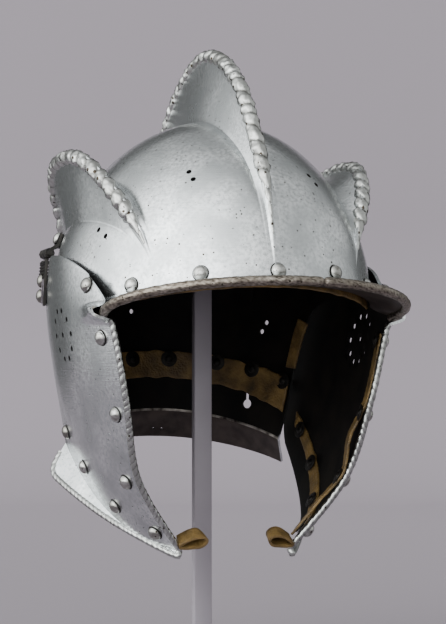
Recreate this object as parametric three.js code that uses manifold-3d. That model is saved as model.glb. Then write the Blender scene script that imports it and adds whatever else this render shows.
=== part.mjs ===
// A triple-combed burgonet of bright steel, hung on a plain bar stand.
// Millimetres, +Z up. The face looks along -Y and the wearer's left is +X.
// The origin is the middle of the stand's underside, straight below the bowl's axis.
import * as THREE from "three";
import { mergeVertices } from "three/addons/utils/BufferGeometryUtils.js";
import Module from "manifold-3d";

const wasm = await Module();
wasm.setup();

// Driving dimensions. Heights called h are measured from the temples, BROW_Z above the floor.
const BROW_Z = 232;
const STEEL = 1.8; // wall of skull and cheekpieces
const LEATHER = 1.6;
const SEAT_GAP = 0.3; // between pieces that touch
const FACET_GAP = 0.9; // between a facetted wall and the leather that lies in it
const ROLL_DIAMETER = 6; // turned edge of the peak
const ROPE_DIAMETER = 4.6; // roped edge of a cheekpiece
const ARCH_PITCH = 1.12; // 1 is a round arch, more is steeper towards the comb
const SIDE_COMB_LEAN = 25; // degrees out from upright

const RIVET_HEAD = { radius: 4.8, height: 3.2, sides: 6 };
const RIVET_SHANK_RADIUS = 1.5;
const RIVET_TAIL = { radius: 3, thick: 1 };
const HOLE_SIDES = 5;
const RIVET_HOLE_SIDES = 4;
const FACET_TRIM = 0.08;
const DRILL_LENGTH = 24; // reaches through any wall
const EAR_ROSETTE = { x: 103, y: -9, h: -17, radius: 16, holes: 10, hole: 1.5 };
const LACE_HOLE_RADIUS = 1.6;
const KEYHOLE = { x: 60, y: 93, h: -58, radius: 3, slot: 1.2, reach: 9 };

// The cheekpieces swing out on a fore-and-aft axis above each ear.
const HINGE = { x: 97.5, y: 42, h: 38, barrel: 3.4, pin: 1.4, length: 15, leaf: 1.8 };

// Bowl sections from the brow, over the crown, to the neck crease. Each is an arch from the median point
// (my, mh) to the side edge (ex, ey, eh). comb and side are how far the middle and side combs stand up there,
// and at is where the side comb runs, as a share of the way to the edge.
const BOWL = [
  { my: -118, mh: 12, ex: 92, ey: -47, eh: 3, sweep: 67, comb: 0, side: 0, at: 0.57 },
  { my: -113, mh: 34, ex: 95, ey: -36, eh: 9, sweep: 70, comb: 0.8, side: 0, at: 0.58 },
  { my: -101, mh: 66, ex: 98, ey: -24, eh: 12, sweep: 76, comb: 4, side: 4, at: 0.59 },
  { my: -76, mh: 94, ex: 99.5, ey: -12, eh: 13, sweep: 82, comb: 14, side: 18, at: 0.61 },
  { my: -36, mh: 116, ex: 100, ey: -2, eh: 13.5, sweep: 86, comb: 34, side: 30, at: 0.63 },
  { my: 6, mh: 122, ex: 100, ey: 9, eh: 13.5, sweep: 87, comb: 47, side: 33, at: 0.635 },
  { my: 48, mh: 113, ex: 98.5, ey: 22, eh: 13, sweep: 86, comb: 43, side: 33, at: 0.63 },
  { my: 84, mh: 88, ex: 96, ey: 36, eh: 11, sweep: 80, comb: 33, side: 25, at: 0.61 },
  { my: 108, mh: 55, ex: 92, ey: 48, eh: 6, sweep: 74, comb: 14, side: 6, at: 0.6 },
  { my: 119, mh: 18, ex: 88, ey: 56, eh: -6, sweep: 68, comb: 0, side: 0, at: 0.6 },
  { my: 120, mh: -20, ex: 83, ey: 61, eh: -30, sweep: 66, comb: 0, side: 0, at: 0.6 },
  { my: 118, mh: -44, ex: 78, ey: 65, eh: -60, sweep: 66, comb: 0, side: 0, at: 0.6 },
  { my: 116, mh: -62, ex: 73.5, ey: 69, eh: -82, sweep: 66, comb: 0, side: 0, at: 0.6 },
];
const BOWL_END = BOWL.length - 1;
const BOWL_ROWS = [
  0, 0.8, 1.6, 2.4, 3.2, 3.9, 4.5, 5.1, 5.7, 6.4, 7.2, 8.1, 9.2, 10.5, 12,
];
const PEAK_RIM = { my: -150, mh: 12, ex: 93, ey: -74, eh: -5, sweep: 100 };
const NECK_RIM = { my: 128, mh: -79, ex: 79, ey: 77, eh: -97, sweep: 68 };

// A comb's section: out from its middle plane in millimetres, up as a share of its height.
const COMB_SECTION = [
  { out: 0, up: 1 },
  { out: 4.8, up: 0.92 },
  { out: 6.2, up: 0.25 },
  { out: 13, up: 0 },
];
const BETWEEN_COMBS = [1 / 3, 2 / 3]; // columns between the roots of two combs
const BELOW_COMB = [0.3, 0.65, 1]; // columns from a side comb's root to the edge

// The left cheekpiece, section by section from its lobe to the crease above its flared foot: front edge,
// middle and rear edge. The last row is the foot's own edge.
const CHEEK = [
  { fx: 96.5, fy: -48, fh: 20, mx: 102.3, my: -1, mh: 33.5, rx: 94.8, ry: 47, rh: 31 },
  { fx: 93, fy: -73, fh: 1.5, mx: 103.6, my: -6, mh: 6, rx: 91.2, ry: 66, rh: 5 },
  { fx: 87.5, fy: -77, fh: -21, mx: 99.5, my: -4, mh: -22, rx: 87.5, ry: 70, rh: -22 },
  { fx: 79.5, fy: -74, fh: -60, mx: 91.5, my: -3, mh: -58, rx: 81, ry: 73, rh: -57 },
  { fx: 68, fy: -61, fh: -106, mx: 80.5, my: -3, mh: -97, rx: 78.5, ry: 70, rh: -74 },
  { fx: 37, fy: -46, fh: -149, mx: 65, my: 4, mh: -128.5, rx: 78, ry: 66, rh: -84 },
];
const CHEEK_FOOT = { fx: 38, fy: -47, fh: -152, mx: 66.8, my: 5, mh: -131, rx: 89.5, ry: 65, rh: -102 };
const CHEEK_END = CHEEK.length - 1;
const CHEEK_ROWS = [
  0, 0.45, 0.85, 1.02, 1.16, 1.3, 1.43, 1.56, 1.68, 1.82, 2.5, 3.2, 3.9, 4.5, 5, 5.75, 6,
];
const CHEEK_COLUMNS = [1, 0.85, 0.67, 0.48, 0.31, 0.18, 0.1, 0.045, 0.022, 0];
// The flare in its front edge that takes the end of the peak.
const PEAK_SLOT = { h: -5, out: 11.5, tall: 5.8, deep: 17, below: 1.5 };

// Rivets of the skull, by the point on the wall that each is nearest to. Those of the brow sit lower on
// the right.
const BROW_RIVETS = {
  middle: { x: 1.5, y: -118, h: 18.5 },
  "1_left": { x: 44, y: -107, h: 19.5 },
  "1_right": { x: -44, y: -107, h: 17 },
  "2_left": { x: 78, y: -76, h: 14 },
  "2_right": { x: -78, y: -76, h: 11 },
};
const NAPE_RIVETS = {
  middle: { x: 9.5, y: 121, h: -27 },
  "1_left": { x: 44, y: 110, h: -29.5 },
  "1_right": { x: -19, y: 119, h: -27.5 },
  "2_left": { x: 65.5, y: 92, h: -34.5 },
  "2_right": { x: -50, y: 107, h: -31 },
  "3_left": { x: 80, y: 68, h: -43 },
  "3_right": { x: -78, y: 73, h: -41 },
};
// Rivets of the left cheekpiece, placed in the same way.
const FRONT_RIVETS = [
  { x: 92, y: -64, h: -20 },
  { x: 83, y: -62, h: -66 },
  { x: 72, y: -49, h: -107 },
];
const LOBE_RIVET = { x: 98, y: -54, h: 12 };
const FOOT_RIVETS = [
  { x: 85, y: 44, h: -77 },
  { x: 81.5, y: 16, h: -99.5 },
  { x: 66.5, y: -13.5, h: -122 },
  { x: 50, y: -40, h: -138 },
];
const HINGE_RIVETS = [
  { x: 97, y: 42, h: 20 },
  { x: 97, y: 42, h: 10.5 },
];
const SKULL_HINGE_RIVET = { x: 89, y: 42, h: 47 };
// Lace holes in pairs, and the single ones behind. Those of the neck are smaller.
const LACE_HOLES = [
  { x: 38, y: -80, h: 83 },
  { x: 42, y: -83, h: 77 },
  { x: -42.5, y: -78, h: 83 },
  { x: -41, y: -83, h: 77 },
  { x: 84, y: -46, h: 49.5 },
  { x: 85, y: -55, h: 45 },
  { x: -86, y: -38, h: 47 },
  { x: -86, y: -48, h: 43 },
  { x: 70, y: 84, h: -2 },
  { x: 67, y: 86, h: -8 },
  { x: -70, y: 84, h: -2 },
  { x: -67, y: 86, h: -8 },
  { x: 37, y: 112, h: 14 },
  { x: -18, y: 119, h: 6 },
];
const NECK_HOLES = [
  { x: 0.5, y: 124, h: -74 },
  { x: 6.5, y: 124, h: -74 },
];
const NECK_HOLE_RADIUS = 0.9;

// Lining strips, as spans of the wall they line: along and across it.
const BROW_BAND = { from: 0.04, to: 0.68, reach: 0.9 };
const NAPE_BAND = { middle: 10.42, drop: 0.36, half: 0.38, reach: 0.99 };
const EAR_STRIP = { from: 8.8, to: 10.15, front: 1.03, back: 0.94 };
const FRONT_STRIP = { from: 1.8, to: 4.4, edge: 0.06, wide: 0.095 };
const FOOT_STRIP = { above: 2, climb: 21.5, wide: 11, front: 0.13, rear: 0.9 };
const TIP_LOOP = { x: 36, y: -45, h: -145, long: 17, tall: 7.5, wide: 11, tilt: -16, turn: 12 };

const STAND = { postWide: 12, postDeep: 6, postY: 18, base: 180, baseThick: 10, baseCorner: 14 };
const PAD = { from: 4.75, to: 5.95, reach: 0.2, clear: 2, thick: 9, rows: 4, columns: 4 };

// Materials, one for each kind of piece.
const steel = { color: 0xb9bfc2, roughness: 0.32, metalness: 1 };
const iron = { color: 0x26231f, roughness: 0.6, metalness: 0.9 };
const leather = { color: 0x9a7a35, roughness: 0.75, metalness: 0 };
const standGrey = { color: 0x97929a, roughness: 0.5, metalness: 0 };

const rad = THREE.MathUtils.degToRad;
const mix = THREE.MathUtils.lerp;
const point = (p) => new THREE.Vector3(p.x, p.y, p.h);

// Makes a closed geometry from points and triangles, turned so that its faces point outwards.
function closedGeometry(points, triangles) {
  let volume = 0;
  for (const [a, b, c] of triangles) {
    volume += points[a].dot(new THREE.Vector3().crossVectors(points[b], points[c]));
  }
  const turned = volume < 0 ? triangles.map(([a, b, c]) => [a, c, b]) : triangles;
  const geometry = new THREE.BufferGeometry();
  geometry.setAttribute("position", new THREE.Float32BufferAttribute(points.flatMap((p) => p.toArray()), 3));
  geometry.setIndex(turned.flat());
  return geometry;
}

// A wall over a net of points: the net moved out by outside and in by inside along its normals, and closed
// round its border.
function wall(net, outside, inside) {
  const rows = net.length;
  const columns = net[0].length;
  const at = (i, j) =>
    net[THREE.MathUtils.clamp(i, 0, rows - 1)][THREE.MathUtils.clamp(j, 0, columns - 1)];
  const outer = [];
  const inner = [];
  for (let i = 0; i < rows; i++) {
    for (let j = 0; j < columns; j++) {
      const along = at(i + 1, j).clone().sub(at(i - 1, j));
      const across = at(i, j + 1).clone().sub(at(i, j - 1));
      const normal = across.cross(along).normalize();
      outer.push(at(i, j).clone().addScaledVector(normal, outside(i, j)));
      inner.push(at(i, j).clone().addScaledVector(normal, -inside(i, j)));
    }
  }
  const triangles = [];
  const quad = (a, b, c, d) => triangles.push([a, b, c], [a, c, d]);
  const shift = outer.length;
  const cell = (i, j) => i * columns + j;
  for (let i = 0; i < rows - 1; i++) {
    for (let j = 0; j < columns - 1; j++) {
      const corners = [cell(i, j), cell(i + 1, j), cell(i + 1, j + 1), cell(i, j + 1)];
      quad(...corners);
      quad(...corners.reverse().map((k) => k + shift));
    }
  }
  const border = [];
  for (let j = 0; j < columns - 1; j++) border.push(cell(0, j));
  for (let i = 0; i < rows - 1; i++) border.push(cell(i, columns - 1));
  for (let j = columns - 1; j > 0; j--) border.push(cell(rows - 1, j));
  for (let i = rows - 1; i > 0; i--) border.push(cell(i, 0));
  border.forEach((a, k) => {
    const b = border[(k + 1) % border.length];
    quad(a, b, b + shift, a + shift);
  });
  return closedGeometry([...outer, ...inner], triangles);
}

// The same faces with each corner held once and nothing else.
function welded(geometry) {
  const bare = new THREE.BufferGeometry();
  bare.setAttribute("position", geometry.getAttribute("position").clone());
  if (geometry.index) bare.setIndex(geometry.index);
  return mergeVertices(bare, 1e-4);
}

function solid(geometry) {
  const merged = welded(geometry);
  return new wasm.Manifold(
    new wasm.Mesh({
      numProp: 3,
      vertProperties: new Float32Array(merged.attributes.position.array),
      triVerts: new Uint32Array(merged.index.array),
    }),
  );
}

function geometryOf(manifold) {
  const mesh = manifold.getMesh();
  const geometry = new THREE.BufferGeometry();
  geometry.setAttribute("position", new THREE.Float32BufferAttribute(mesh.vertProperties, 3));
  geometry.setIndex(Array.from(mesh.triVerts));
  return geometry;
}

// Cutting and joining leave thin triangles, so edges that matter less than FACET_TRIM are dropped.
const cutAway = (geometry, cutters) => {
  const cut = cutters.reduce((left, cutter) => left.subtract(solid(cutter)), solid(geometry));
  return geometryOf(cut.simplify(FACET_TRIM));
};
const joined = (geometries) =>
  geometryOf(geometries.map(solid).reduce((whole, next) => whole.add(next)).simplify(FACET_TRIM));

// The same piece for the wearer's right.
function mirrored(geometry) {
  const copy = geometry.clone();
  copy.scale(-1, 1, 1);
  const index = copy.index.array;
  for (let k = 0; k < index.length; k += 3) [index[k + 1], index[k + 2]] = [index[k + 2], index[k + 1]];
  return copy;
}

// A smooth value between the rows of a table.
function between(table, t) {
  const k = THREE.MathUtils.clamp(Math.floor(t), 0, table.length - 2);
  const s = t - k;
  const row = {};
  for (const key of Object.keys(table[k])) {
    const [a, b, c, d] = [k - 1, k, k + 1, k + 2].map(
      (n) => table[THREE.MathUtils.clamp(n, 0, table.length - 1)][key],
    );
    row[key] =
      0.5 * (2 * b + (c - a) * s + (2 * a - 5 * b + 4 * c - d) * s * s + (3 * b - a - 3 * c + d) * s * s * s);
  }
  return row;
}

// A point of an arch, v from -1 at the right edge to 1 at the left.
function arch(row, v, pitch) {
  const end = rad(row.sweep);
  const fall = (angle) => (pitch === 1 ? Math.cos(angle) : Math.pow(Math.max(Math.cos(angle), 0), pitch));
  const share = (fall(v * end) - fall(end)) / (1 - fall(end));
  return new THREE.Vector3(
    (row.ex * Math.sin(v * end)) / Math.sin(end),
    mix(row.ey, row.my, share),
    mix(row.eh, row.mh, share),
  );
}

// The bowl without combs. u runs along the rows of BOWL, from -1 at the peak's rim to 1 past the neck crease
// at the rim of the neck guard.
function bowl(u, v) {
  if (u < 0) return arch(BOWL[0], v, ARCH_PITCH).lerp(arch(PEAK_RIM, v, 1), -u);
  if (u > BOWL_END) return arch(BOWL[BOWL_END], v, ARCH_PITCH).lerp(arch(NECK_RIM, v, 1), u - BOWL_END);
  return arch(between(BOWL, u), v, ARCH_PITCH);
}

// The outward normal. The cheekpiece's u runs down and its v backwards, so its own normal points inwards.
function surfaceNormal(surface, u, v) {
  const step = 0.02;
  const along = surface(u + step, v).sub(surface(u - step, v));
  const across = surface(u, v + step).sub(surface(u, v - step));
  return across.cross(along).normalize().multiplyScalar(surface === cheek ? -1 : 1);
}

// Where on a surface a point lies nearest, with the normal there. With alongX 0 the point is seen along X.
function seat(surface, place, uRange, vRange, alongX = 1) {
  const goal = point(place);
  let best = { far: Infinity };
  let [u0, u1] = uRange;
  let [v0, v1] = vRange;
  const cuts = 24;
  for (let pass = 0; pass < 4; pass++) {
    for (let i = 0; i <= cuts; i++) {
      for (let j = 0; j <= cuts; j++) {
        const u = mix(u0, u1, i / cuts);
        const v = mix(v0, v1, j / cuts);
        const gap = surface(u, v).sub(goal);
        gap.x *= alongX;
        const far = gap.length();
        if (far < best.far) best = { far, u, v };
      }
    }
    const du = ((u1 - u0) / cuts) * 1.5;
    const dv = ((v1 - v0) / cuts) * 1.5;
    [u0, u1] = [Math.max(uRange[0], best.u - du), Math.min(uRange[1], best.u + du)];
    [v0, v1] = [Math.max(vRange[0], best.v - dv), Math.min(vRange[1], best.v + dv)];
  }
  return { point: surface(best.u, best.v), normal: surfaceNormal(surface, best.u, best.v) };
}
const onBowl = (place) => seat(bowl, place, [0.02, BOWL_END], [-1, 1]);
const onNeck = (place) => seat(bowl, place, [BOWL_END, BOWL_END + 1], [-1, 1]);
const onCheek = (place) => seat(cheek, place, [0, CHEEK_END], [0, 1]);

// Skull: bowl, three hollow combs, peak and neck guard, raised in one from a single plate.
function archLength(u) {
  const cuts = 16;
  let length = 0;
  for (let k = 0; k < cuts; k++) length += bowl(u, k / cuts).distanceTo(bowl(u, (k + 1) / cuts));
  return length;
}

// One side of a skull section, from the crest of the middle comb down to the left edge.
function skullSection(u) {
  const row = between(BOWL, THREE.MathUtils.clamp(u, 0, BOWL_END));
  const millimetre = 1 / archLength(u);
  const root = COMB_SECTION.at(-1).out * millimetre;
  const inBowl = u > 0 && u < BOWL_END;
  const up = inBowl ? surfaceNormal(bowl, u, 0) : new THREE.Vector3();
  const face = surfaceNormal(bowl, u, row.at);
  const lean = rad(SIDE_COMB_LEAN);
  const sideways = new THREE.Vector3(Math.sin(lean), face.y, Math.cos(lean)).normalize();
  const raised = (v, direction, height) =>
    bowl(u, v).addScaledVector(direction, inBowl ? Math.max(height, 0) : 0);
  const section = COMB_SECTION.map((c) => raised(c.out * millimetre, up, row.comb * c.up));
  for (const share of BETWEEN_COMBS) section.push(bowl(u, mix(root, row.at - root, share)));
  for (const c of [...COMB_SECTION].reverse()) {
    section.push(raised(row.at - c.out * millimetre, sideways, row.side * c.up));
  }
  for (const c of COMB_SECTION.slice(1)) {
    section.push(raised(row.at + c.out * millimetre, sideways, row.side * c.up));
  }
  for (const share of BELOW_COMB) section.push(bowl(u, mix(row.at + root, 1, share)));
  return section;
}

const PEAK_ROWS = [
  { u: -1, outside: 0.6, inside: 3.4 },
  { u: -0.91, outside: 1.4, inside: ROLL_DIAMETER - 1.4 },
  { u: -0.82, outside: 0, inside: STEEL },
];

function skullGeometry() {
  const rows = [...PEAK_ROWS];
  for (const u of [...BOWL_ROWS, BOWL_END + 1]) rows.push({ u, outside: 0, inside: STEEL });
  const net = rows.map(({ u }) => {
    const left = skullSection(u);
    const right = left.slice(1).map((p) => new THREE.Vector3(-p.x, p.y, p.z));
    return [...right.reverse(), ...left];
  });
  return wall(net, (i) => rows[i].outside, (i) => rows[i].inside);
}

// Left cheekpiece: one plate with a round lobe over the bowl, a flare for the peak and a turned-out foot.
function cheekSection(row, v) {
  const pull = [(1 - v) * (1 - 2 * v), 4 * v * (1 - v), v * (2 * v - 1)];
  const blend = (a, b, c) => a * pull[0] + b * pull[1] + c * pull[2];
  return new THREE.Vector3(
    blend(row.fx, row.mx, row.rx),
    blend(row.fy, row.my, row.ry),
    blend(row.fh, row.mh, row.rh),
  );
}

function cheek(u, v) {
  if (u > CHEEK_END) {
    return cheekSection(CHEEK[CHEEK_END], v).lerp(cheekSection(CHEEK_FOOT, v), u - CHEEK_END);
  }
  const row = between(CHEEK, u);
  const p = cheekSection(row, v);
  const back = p.y - row.fy;
  const rise = (p.z - PEAK_SLOT.h) / PEAK_SLOT.tall;
  p.x += PEAK_SLOT.out * Math.exp(-(rise ** 4) - (back / PEAK_SLOT.deep) ** 2);
  return p;
}

function cheekGeometry() {
  const net = CHEEK_ROWS.map((u) => CHEEK_COLUMNS.map((v) => cheek(u, v)));
  const last = CHEEK_ROWS.length - 1;
  const front = CHEEK_COLUMNS.length - 1;
  const swelling = (i, j) => {
    const roped = (j >= front - 1 && CHEEK_ROWS[i] > PEAK_SLOT.below) || i >= last - 1;
    if (!roped) return 0;
    return j === front || i === last ? 0.3 : 0.5;
  };
  const swell = ROPE_DIAMETER - STEEL;
  return wall(net, (i, j) => swell * swelling(i, j), (i, j) => STEEL + swell * swelling(i, j));
}

// Placing small things along a wall's normal.
const UP = new THREE.Vector3(0, 1, 0);
function standing(geometry, spot, lift) {
  const copy = geometry.clone();
  copy.applyQuaternion(new THREE.Quaternion().setFromUnitVectors(UP, spot.normal));
  const foot = spot.point.clone().addScaledVector(spot.normal, lift);
  copy.translate(foot.x, foot.y, foot.z);
  return copy;
}
const drill = (radius, sides) => new THREE.CylinderGeometry(radius, radius, DRILL_LENGTH, sides);
const laceDrill = drill(LACE_HOLE_RADIUS, HOLE_SIDES);
const neckDrill = drill(NECK_HOLE_RADIUS, HOLE_SIDES);
const earDrill = drill(EAR_ROSETTE.hole, HOLE_SIDES);
const rivetDrill = drill(RIVET_SHANK_RADIUS + 3 * SEAT_GAP, RIVET_HOLE_SIDES);

// A rivet: domed head, shank through the wall and what lies under it, and a spread tail unless it is
// filed flush.
function rivetGeometry(grip, flush) {
  const { radius, height, sides } = RIVET_HEAD;
  const tail = [
    [0, -grip - RIVET_TAIL.thick],
    [RIVET_TAIL.radius, -grip],
  ];
  const profile = [
    ...(flush ? [[0, -grip]] : tail),
    [RIVET_SHANK_RADIUS, -grip],
    [RIVET_SHANK_RADIUS, 0],
    [radius, 0],
    [radius * 0.72, height * 0.72],
    [0, height],
  ].map(([x, y]) => new THREE.Vector2(x, y));
  return new THREE.LatheGeometry(profile, sides);
}
const LINED_GRIP = STEEL + FACET_GAP + LEATHER + 4 * SEAT_GAP;
const BARE_GRIP = STEEL + 3 * SEAT_GAP;

// The keyhole's cutter: a round hole with a slot up from it.
function keyholeCutter() {
  const { radius, slot, reach } = KEYHOLE;
  const meet = Math.asin(slot / radius);
  const shape = new THREE.Shape();
  shape.absarc(0, 0, radius, Math.PI / 2 + meet, Math.PI / 2 - meet + 2 * Math.PI, false);
  shape.lineTo(slot, reach);
  shape.lineTo(-slot, reach);
  shape.closePath();
  const cutter = new THREE.ExtrudeGeometry(shape, {
    depth: DRILL_LENGTH,
    bevelEnabled: false,
    curveSegments: HOLE_SIDES,
  });
  cutter.translate(0, 0, -DRILL_LENGTH / 2);
  cutter.rotateX(Math.PI / 2);
  const spot = onBowl(KEYHOLE);
  cutter.rotateZ(-Math.atan2(spot.normal.x, spot.normal.y));
  cutter.translate(spot.point.x, spot.point.y, spot.point.z);
  return cutter;
}

// Leather lining: strips that lie against the inside of a wall.
const LINING_DEPTH = STEEL + FACET_GAP;
function strip(surface, uSpan, vSpan, rows, columns) {
  const net = [];
  for (let i = 0; i <= rows; i++) {
    const line = [];
    for (let j = 0; j <= columns; j++) {
      const v = mix(...vSpan(i / rows), j / columns);
      const u = mix(...uSpan(v), i / rows);
      const normal = surfaceNormal(surface, u, v);
      line.push(surface(u, v).addScaledVector(normal, -LINING_DEPTH));
    }
    net.push(line);
  }
  return wall(net, () => 0, () => LEATHER);
}

const browBand = () =>
  strip(bowl, () => [BROW_BAND.from, BROW_BAND.to], () => [-BROW_BAND.reach, BROW_BAND.reach], 1, 16);
const napeBand = () => {
  const { middle, drop, half, reach } = NAPE_BAND;
  const span = (v) => [middle + drop * v * v - half, middle + drop * v * v + half];
  return strip(bowl, span, () => [-reach, reach], 1, 14);
};
const earStrip = () =>
  strip(bowl, () => [EAR_STRIP.from, EAR_STRIP.to], () => [EAR_STRIP.back, EAR_STRIP.front], 6, 1);
const frontStrip = () => {
  const { from, to, edge, wide } = FRONT_STRIP;
  return strip(cheek, () => [from, to], () => [edge + wide, edge], 8, 1);
};
// The place along the cheekpiece that lies so far above the crease of its foot.
function rowAbove(v, distance) {
  const step = 0.01;
  let u = CHEEK_END;
  let climbed = 0;
  while (climbed < distance) {
    climbed += cheek(u, v).distanceTo(cheek(u - step, v));
    u -= step;
  }
  return u;
}
const footStrip = () => {
  const { above, climb, wide, front, rear } = FOOT_STRIP;
  const span = (v) => [rowAbove(v, above + climb * v + wide), rowAbove(v, above + climb * v)];
  return strip(cheek, span, () => [rear, front], 1, 8);
};

// A strip's end folded back on itself, standing in from the cheekpiece's tip.
function tipLoop() {
  const { long, tall, wide, tilt, turn } = TIP_LOOP;
  const stadium = (Outline, inset) => {
    const radius = tall / 2 - inset;
    const half = (long - tall) / 2;
    const outline = new Outline();
    outline.absarc(half, 0, radius, -Math.PI / 2, Math.PI / 2, false);
    outline.absarc(-half, 0, radius, Math.PI / 2, (3 * Math.PI) / 2, false);
    outline.closePath();
    return outline;
  };
  const shape = stadium(THREE.Shape, 0);
  shape.holes.push(stadium(THREE.Path, LEATHER));
  const loop = new THREE.ExtrudeGeometry(shape, { depth: wide, bevelEnabled: false, curveSegments: 3 });
  loop.translate(-(long - tall) / 2 - tall / 2, 0, -wide / 2);
  loop.rotateX(Math.PI / 2);
  loop.rotateY(rad(-tilt));
  loop.rotateZ(rad(turn));
  loop.translate(TIP_LOOP.x, TIP_LOOP.y, TIP_LOOP.h);
  return loop;
}

// Hinge: two knuckles on the skull's leaf, one between them on the cheekpiece's, and a pin through all three.
const KNUCKLE = (HINGE.length - 2 * SEAT_GAP) / 3;
const KNUCKLE_SIDES = 8;
function knuckle(fromY) {
  const barrel = new THREE.CylinderGeometry(HINGE.barrel, HINGE.barrel, KNUCKLE, KNUCKLE_SIDES);
  barrel.translate(HINGE.x, fromY + KNUCKLE / 2, HINGE.h);
  return barrel;
}
const HINGE_FRONT = HINGE.y - HINGE.length / 2;

// A leaf: a plate that follows the wall it is riveted to, with a web to each of its knuckles.
function leafPlate(surface, clear, heights, fromY, toY) {
  const [uRange, vRange] = surface === bowl ? [[4, 9], [0.4, 1]] : [[0, 2], [0.5, 1]];
  const net = heights.map((h) =>
    [fromY, toY].map((y) => {
      const onBarrel = Math.abs(h - HINGE.h) < HINGE.barrel;
      const x = seat(surface, { x: HINGE.x, y, h }, uRange, vRange, 0).point.x + clear + HINGE.leaf;
      return new THREE.Vector3(onBarrel ? HINGE.x + HINGE.leaf / 2 : x, y, h);
    }),
  );
  return wall(net, () => 0, () => HINGE.leaf);
}

function hingeLeaf(surface, clear, plateHeights, webHeights, knuckles) {
  const plate = leafPlate(surface, clear, plateHeights, HINGE_FRONT, HINGE_FRONT + HINGE.length);
  const webs = knuckles.map((y) => leafPlate(surface, clear, webHeights, y, y + KNUCKLE));
  const bore = drill(HINGE.pin + 2 * SEAT_GAP, RIVET_HEAD.sides);
  bore.translate(HINGE.x, HINGE.y, HINGE.h);
  return cutAway(joined([plate, ...webs, ...knuckles.map(knuckle)]), [bore]);
}

const skullLeaf = () => {
  const top = HINGE.h + HINGE.barrel;
  const back = HINGE_FRONT + 2 * (KNUCKLE + SEAT_GAP);
  return hingeLeaf(bowl, FACET_GAP, [top + 0.8, top + 9.5], [top - 1, top + 3], [HINGE_FRONT, back]);
};
const cheekLeaf = () => {
  const foot = HINGE.h - HINGE.barrel;
  const middle = HINGE_FRONT + KNUCKLE + SEAT_GAP;
  return hingeLeaf(cheek, 2 * SEAT_GAP, [foot - 30, foot - 14, foot - 0.8], [foot - 3, foot + 1], [middle]);
};

function hingePin() {
  const over = 1;
  const half = HINGE.length / 2;
  const head = HINGE.pin + 0.8;
  const profile = [
    [0, -half - SEAT_GAP - over],
    [head, -half - SEAT_GAP - over],
    [head, -half - SEAT_GAP],
    [HINGE.pin, -half - SEAT_GAP],
    [HINGE.pin, half + SEAT_GAP],
    [head, half + SEAT_GAP],
    [head, half + SEAT_GAP + over],
    [0, half + SEAT_GAP + over],
  ].map(([x, y]) => new THREE.Vector2(x, y));
  const pin = new THREE.LatheGeometry(profile, RIVET_HEAD.sides);
  pin.translate(HINGE.x, HINGE.y, HINGE.h);
  return pin;
}

// The stand: a square base, a flat bar, and a pad shaped to the inside of the crown.
function padGeometry() {
  const { from, to, reach, rows, columns } = PAD;
  const floor = bowl(from, reach).z - STEEL - PAD.thick;
  const top = [];
  for (let i = 0; i <= rows; i++) {
    const line = [];
    for (let j = 0; j <= columns; j++) {
      const u = mix(from, to, i / rows);
      const v = mix(-reach, reach, j / columns);
      line.push(bowl(u, v).addScaledVector(surfaceNormal(bowl, u, v), -STEEL - PAD.clear));
    }
    top.push(line);
  }
  const points = [...top.flat(), ...top.flat().map((p) => new THREE.Vector3(p.x * 0.8, p.y, floor))];
  const triangles = wall(top, () => 0, () => 1).index.array;
  const faces = [];
  for (let k = 0; k < triangles.length; k += 3) faces.push([...triangles.slice(k, k + 3)]);
  return { geometry: closedGeometry(points, faces), floor };
}

function baseGeometry() {
  const half = STAND.base / 2;
  const inner = half - STAND.baseCorner;
  const plate = new THREE.Shape();
  plate.absarc(inner, inner, STAND.baseCorner, 0, Math.PI / 2, false);
  plate.absarc(-inner, inner, STAND.baseCorner, Math.PI / 2, Math.PI, false);
  plate.absarc(-inner, -inner, STAND.baseCorner, Math.PI, (3 * Math.PI) / 2, false);
  plate.absarc(inner, -inner, STAND.baseCorner, (3 * Math.PI) / 2, 2 * Math.PI, false);
  plate.closePath();
  return new THREE.ExtrudeGeometry(plate, { depth: STAND.baseThick, bevelEnabled: false, curveSegments: 4 });
}

// Assembly. Everything that hangs on the bowl is placed in a group at the temples' height.
const burgonet = new THREE.Group();
const helmet = new THREE.Group();
helmet.position.z = BROW_Z;
burgonet.add(helmet);

function add(group, name, geometry, finish) {
  const mesh = new THREE.Mesh(geometry, new THREE.MeshStandardMaterial(finish));
  mesh.name = name;
  group.add(mesh);
}
function addPair(name, geometry, finish) {
  const left = welded(geometry);
  add(helmet, `${name}_left`, left, finish);
  add(helmet, `${name}_right`, mirrored(left), finish);
}

const skullDrills = [];
const cheekDrills = [];
const browDrills = [];
const napeDrills = [];
const frontDrills = [];
const footDrills = [];
const skullLeafDrills = [];
const cheekLeafDrills = [];

// Rivets at the same places on both sides, each with its hole in what it holds.
function rivet(name, spot, grip, lift, pieces, flush = false) {
  for (const holes of pieces) holes.push(standing(rivetDrill, spot, 0));
  addPair(name, standing(rivetGeometry(grip, flush), spot, lift), steel);
}
function skullRivets(name, places, holes) {
  for (const [key, place] of Object.entries(places)) {
    const spot = onBowl(place);
    for (const list of [skullDrills, holes]) list.push(standing(rivetDrill, spot, 0));
    const piece = welded(standing(rivetGeometry(LINED_GRIP), spot, SEAT_GAP));
    add(helmet, `${name}_${key}`, piece, steel);
  }
}
function bothSides(spot) {
  const flip = (p) => new THREE.Vector3(-p.x, p.y, p.z);
  return [spot, { point: flip(spot.point), normal: flip(spot.normal) }];
}

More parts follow.
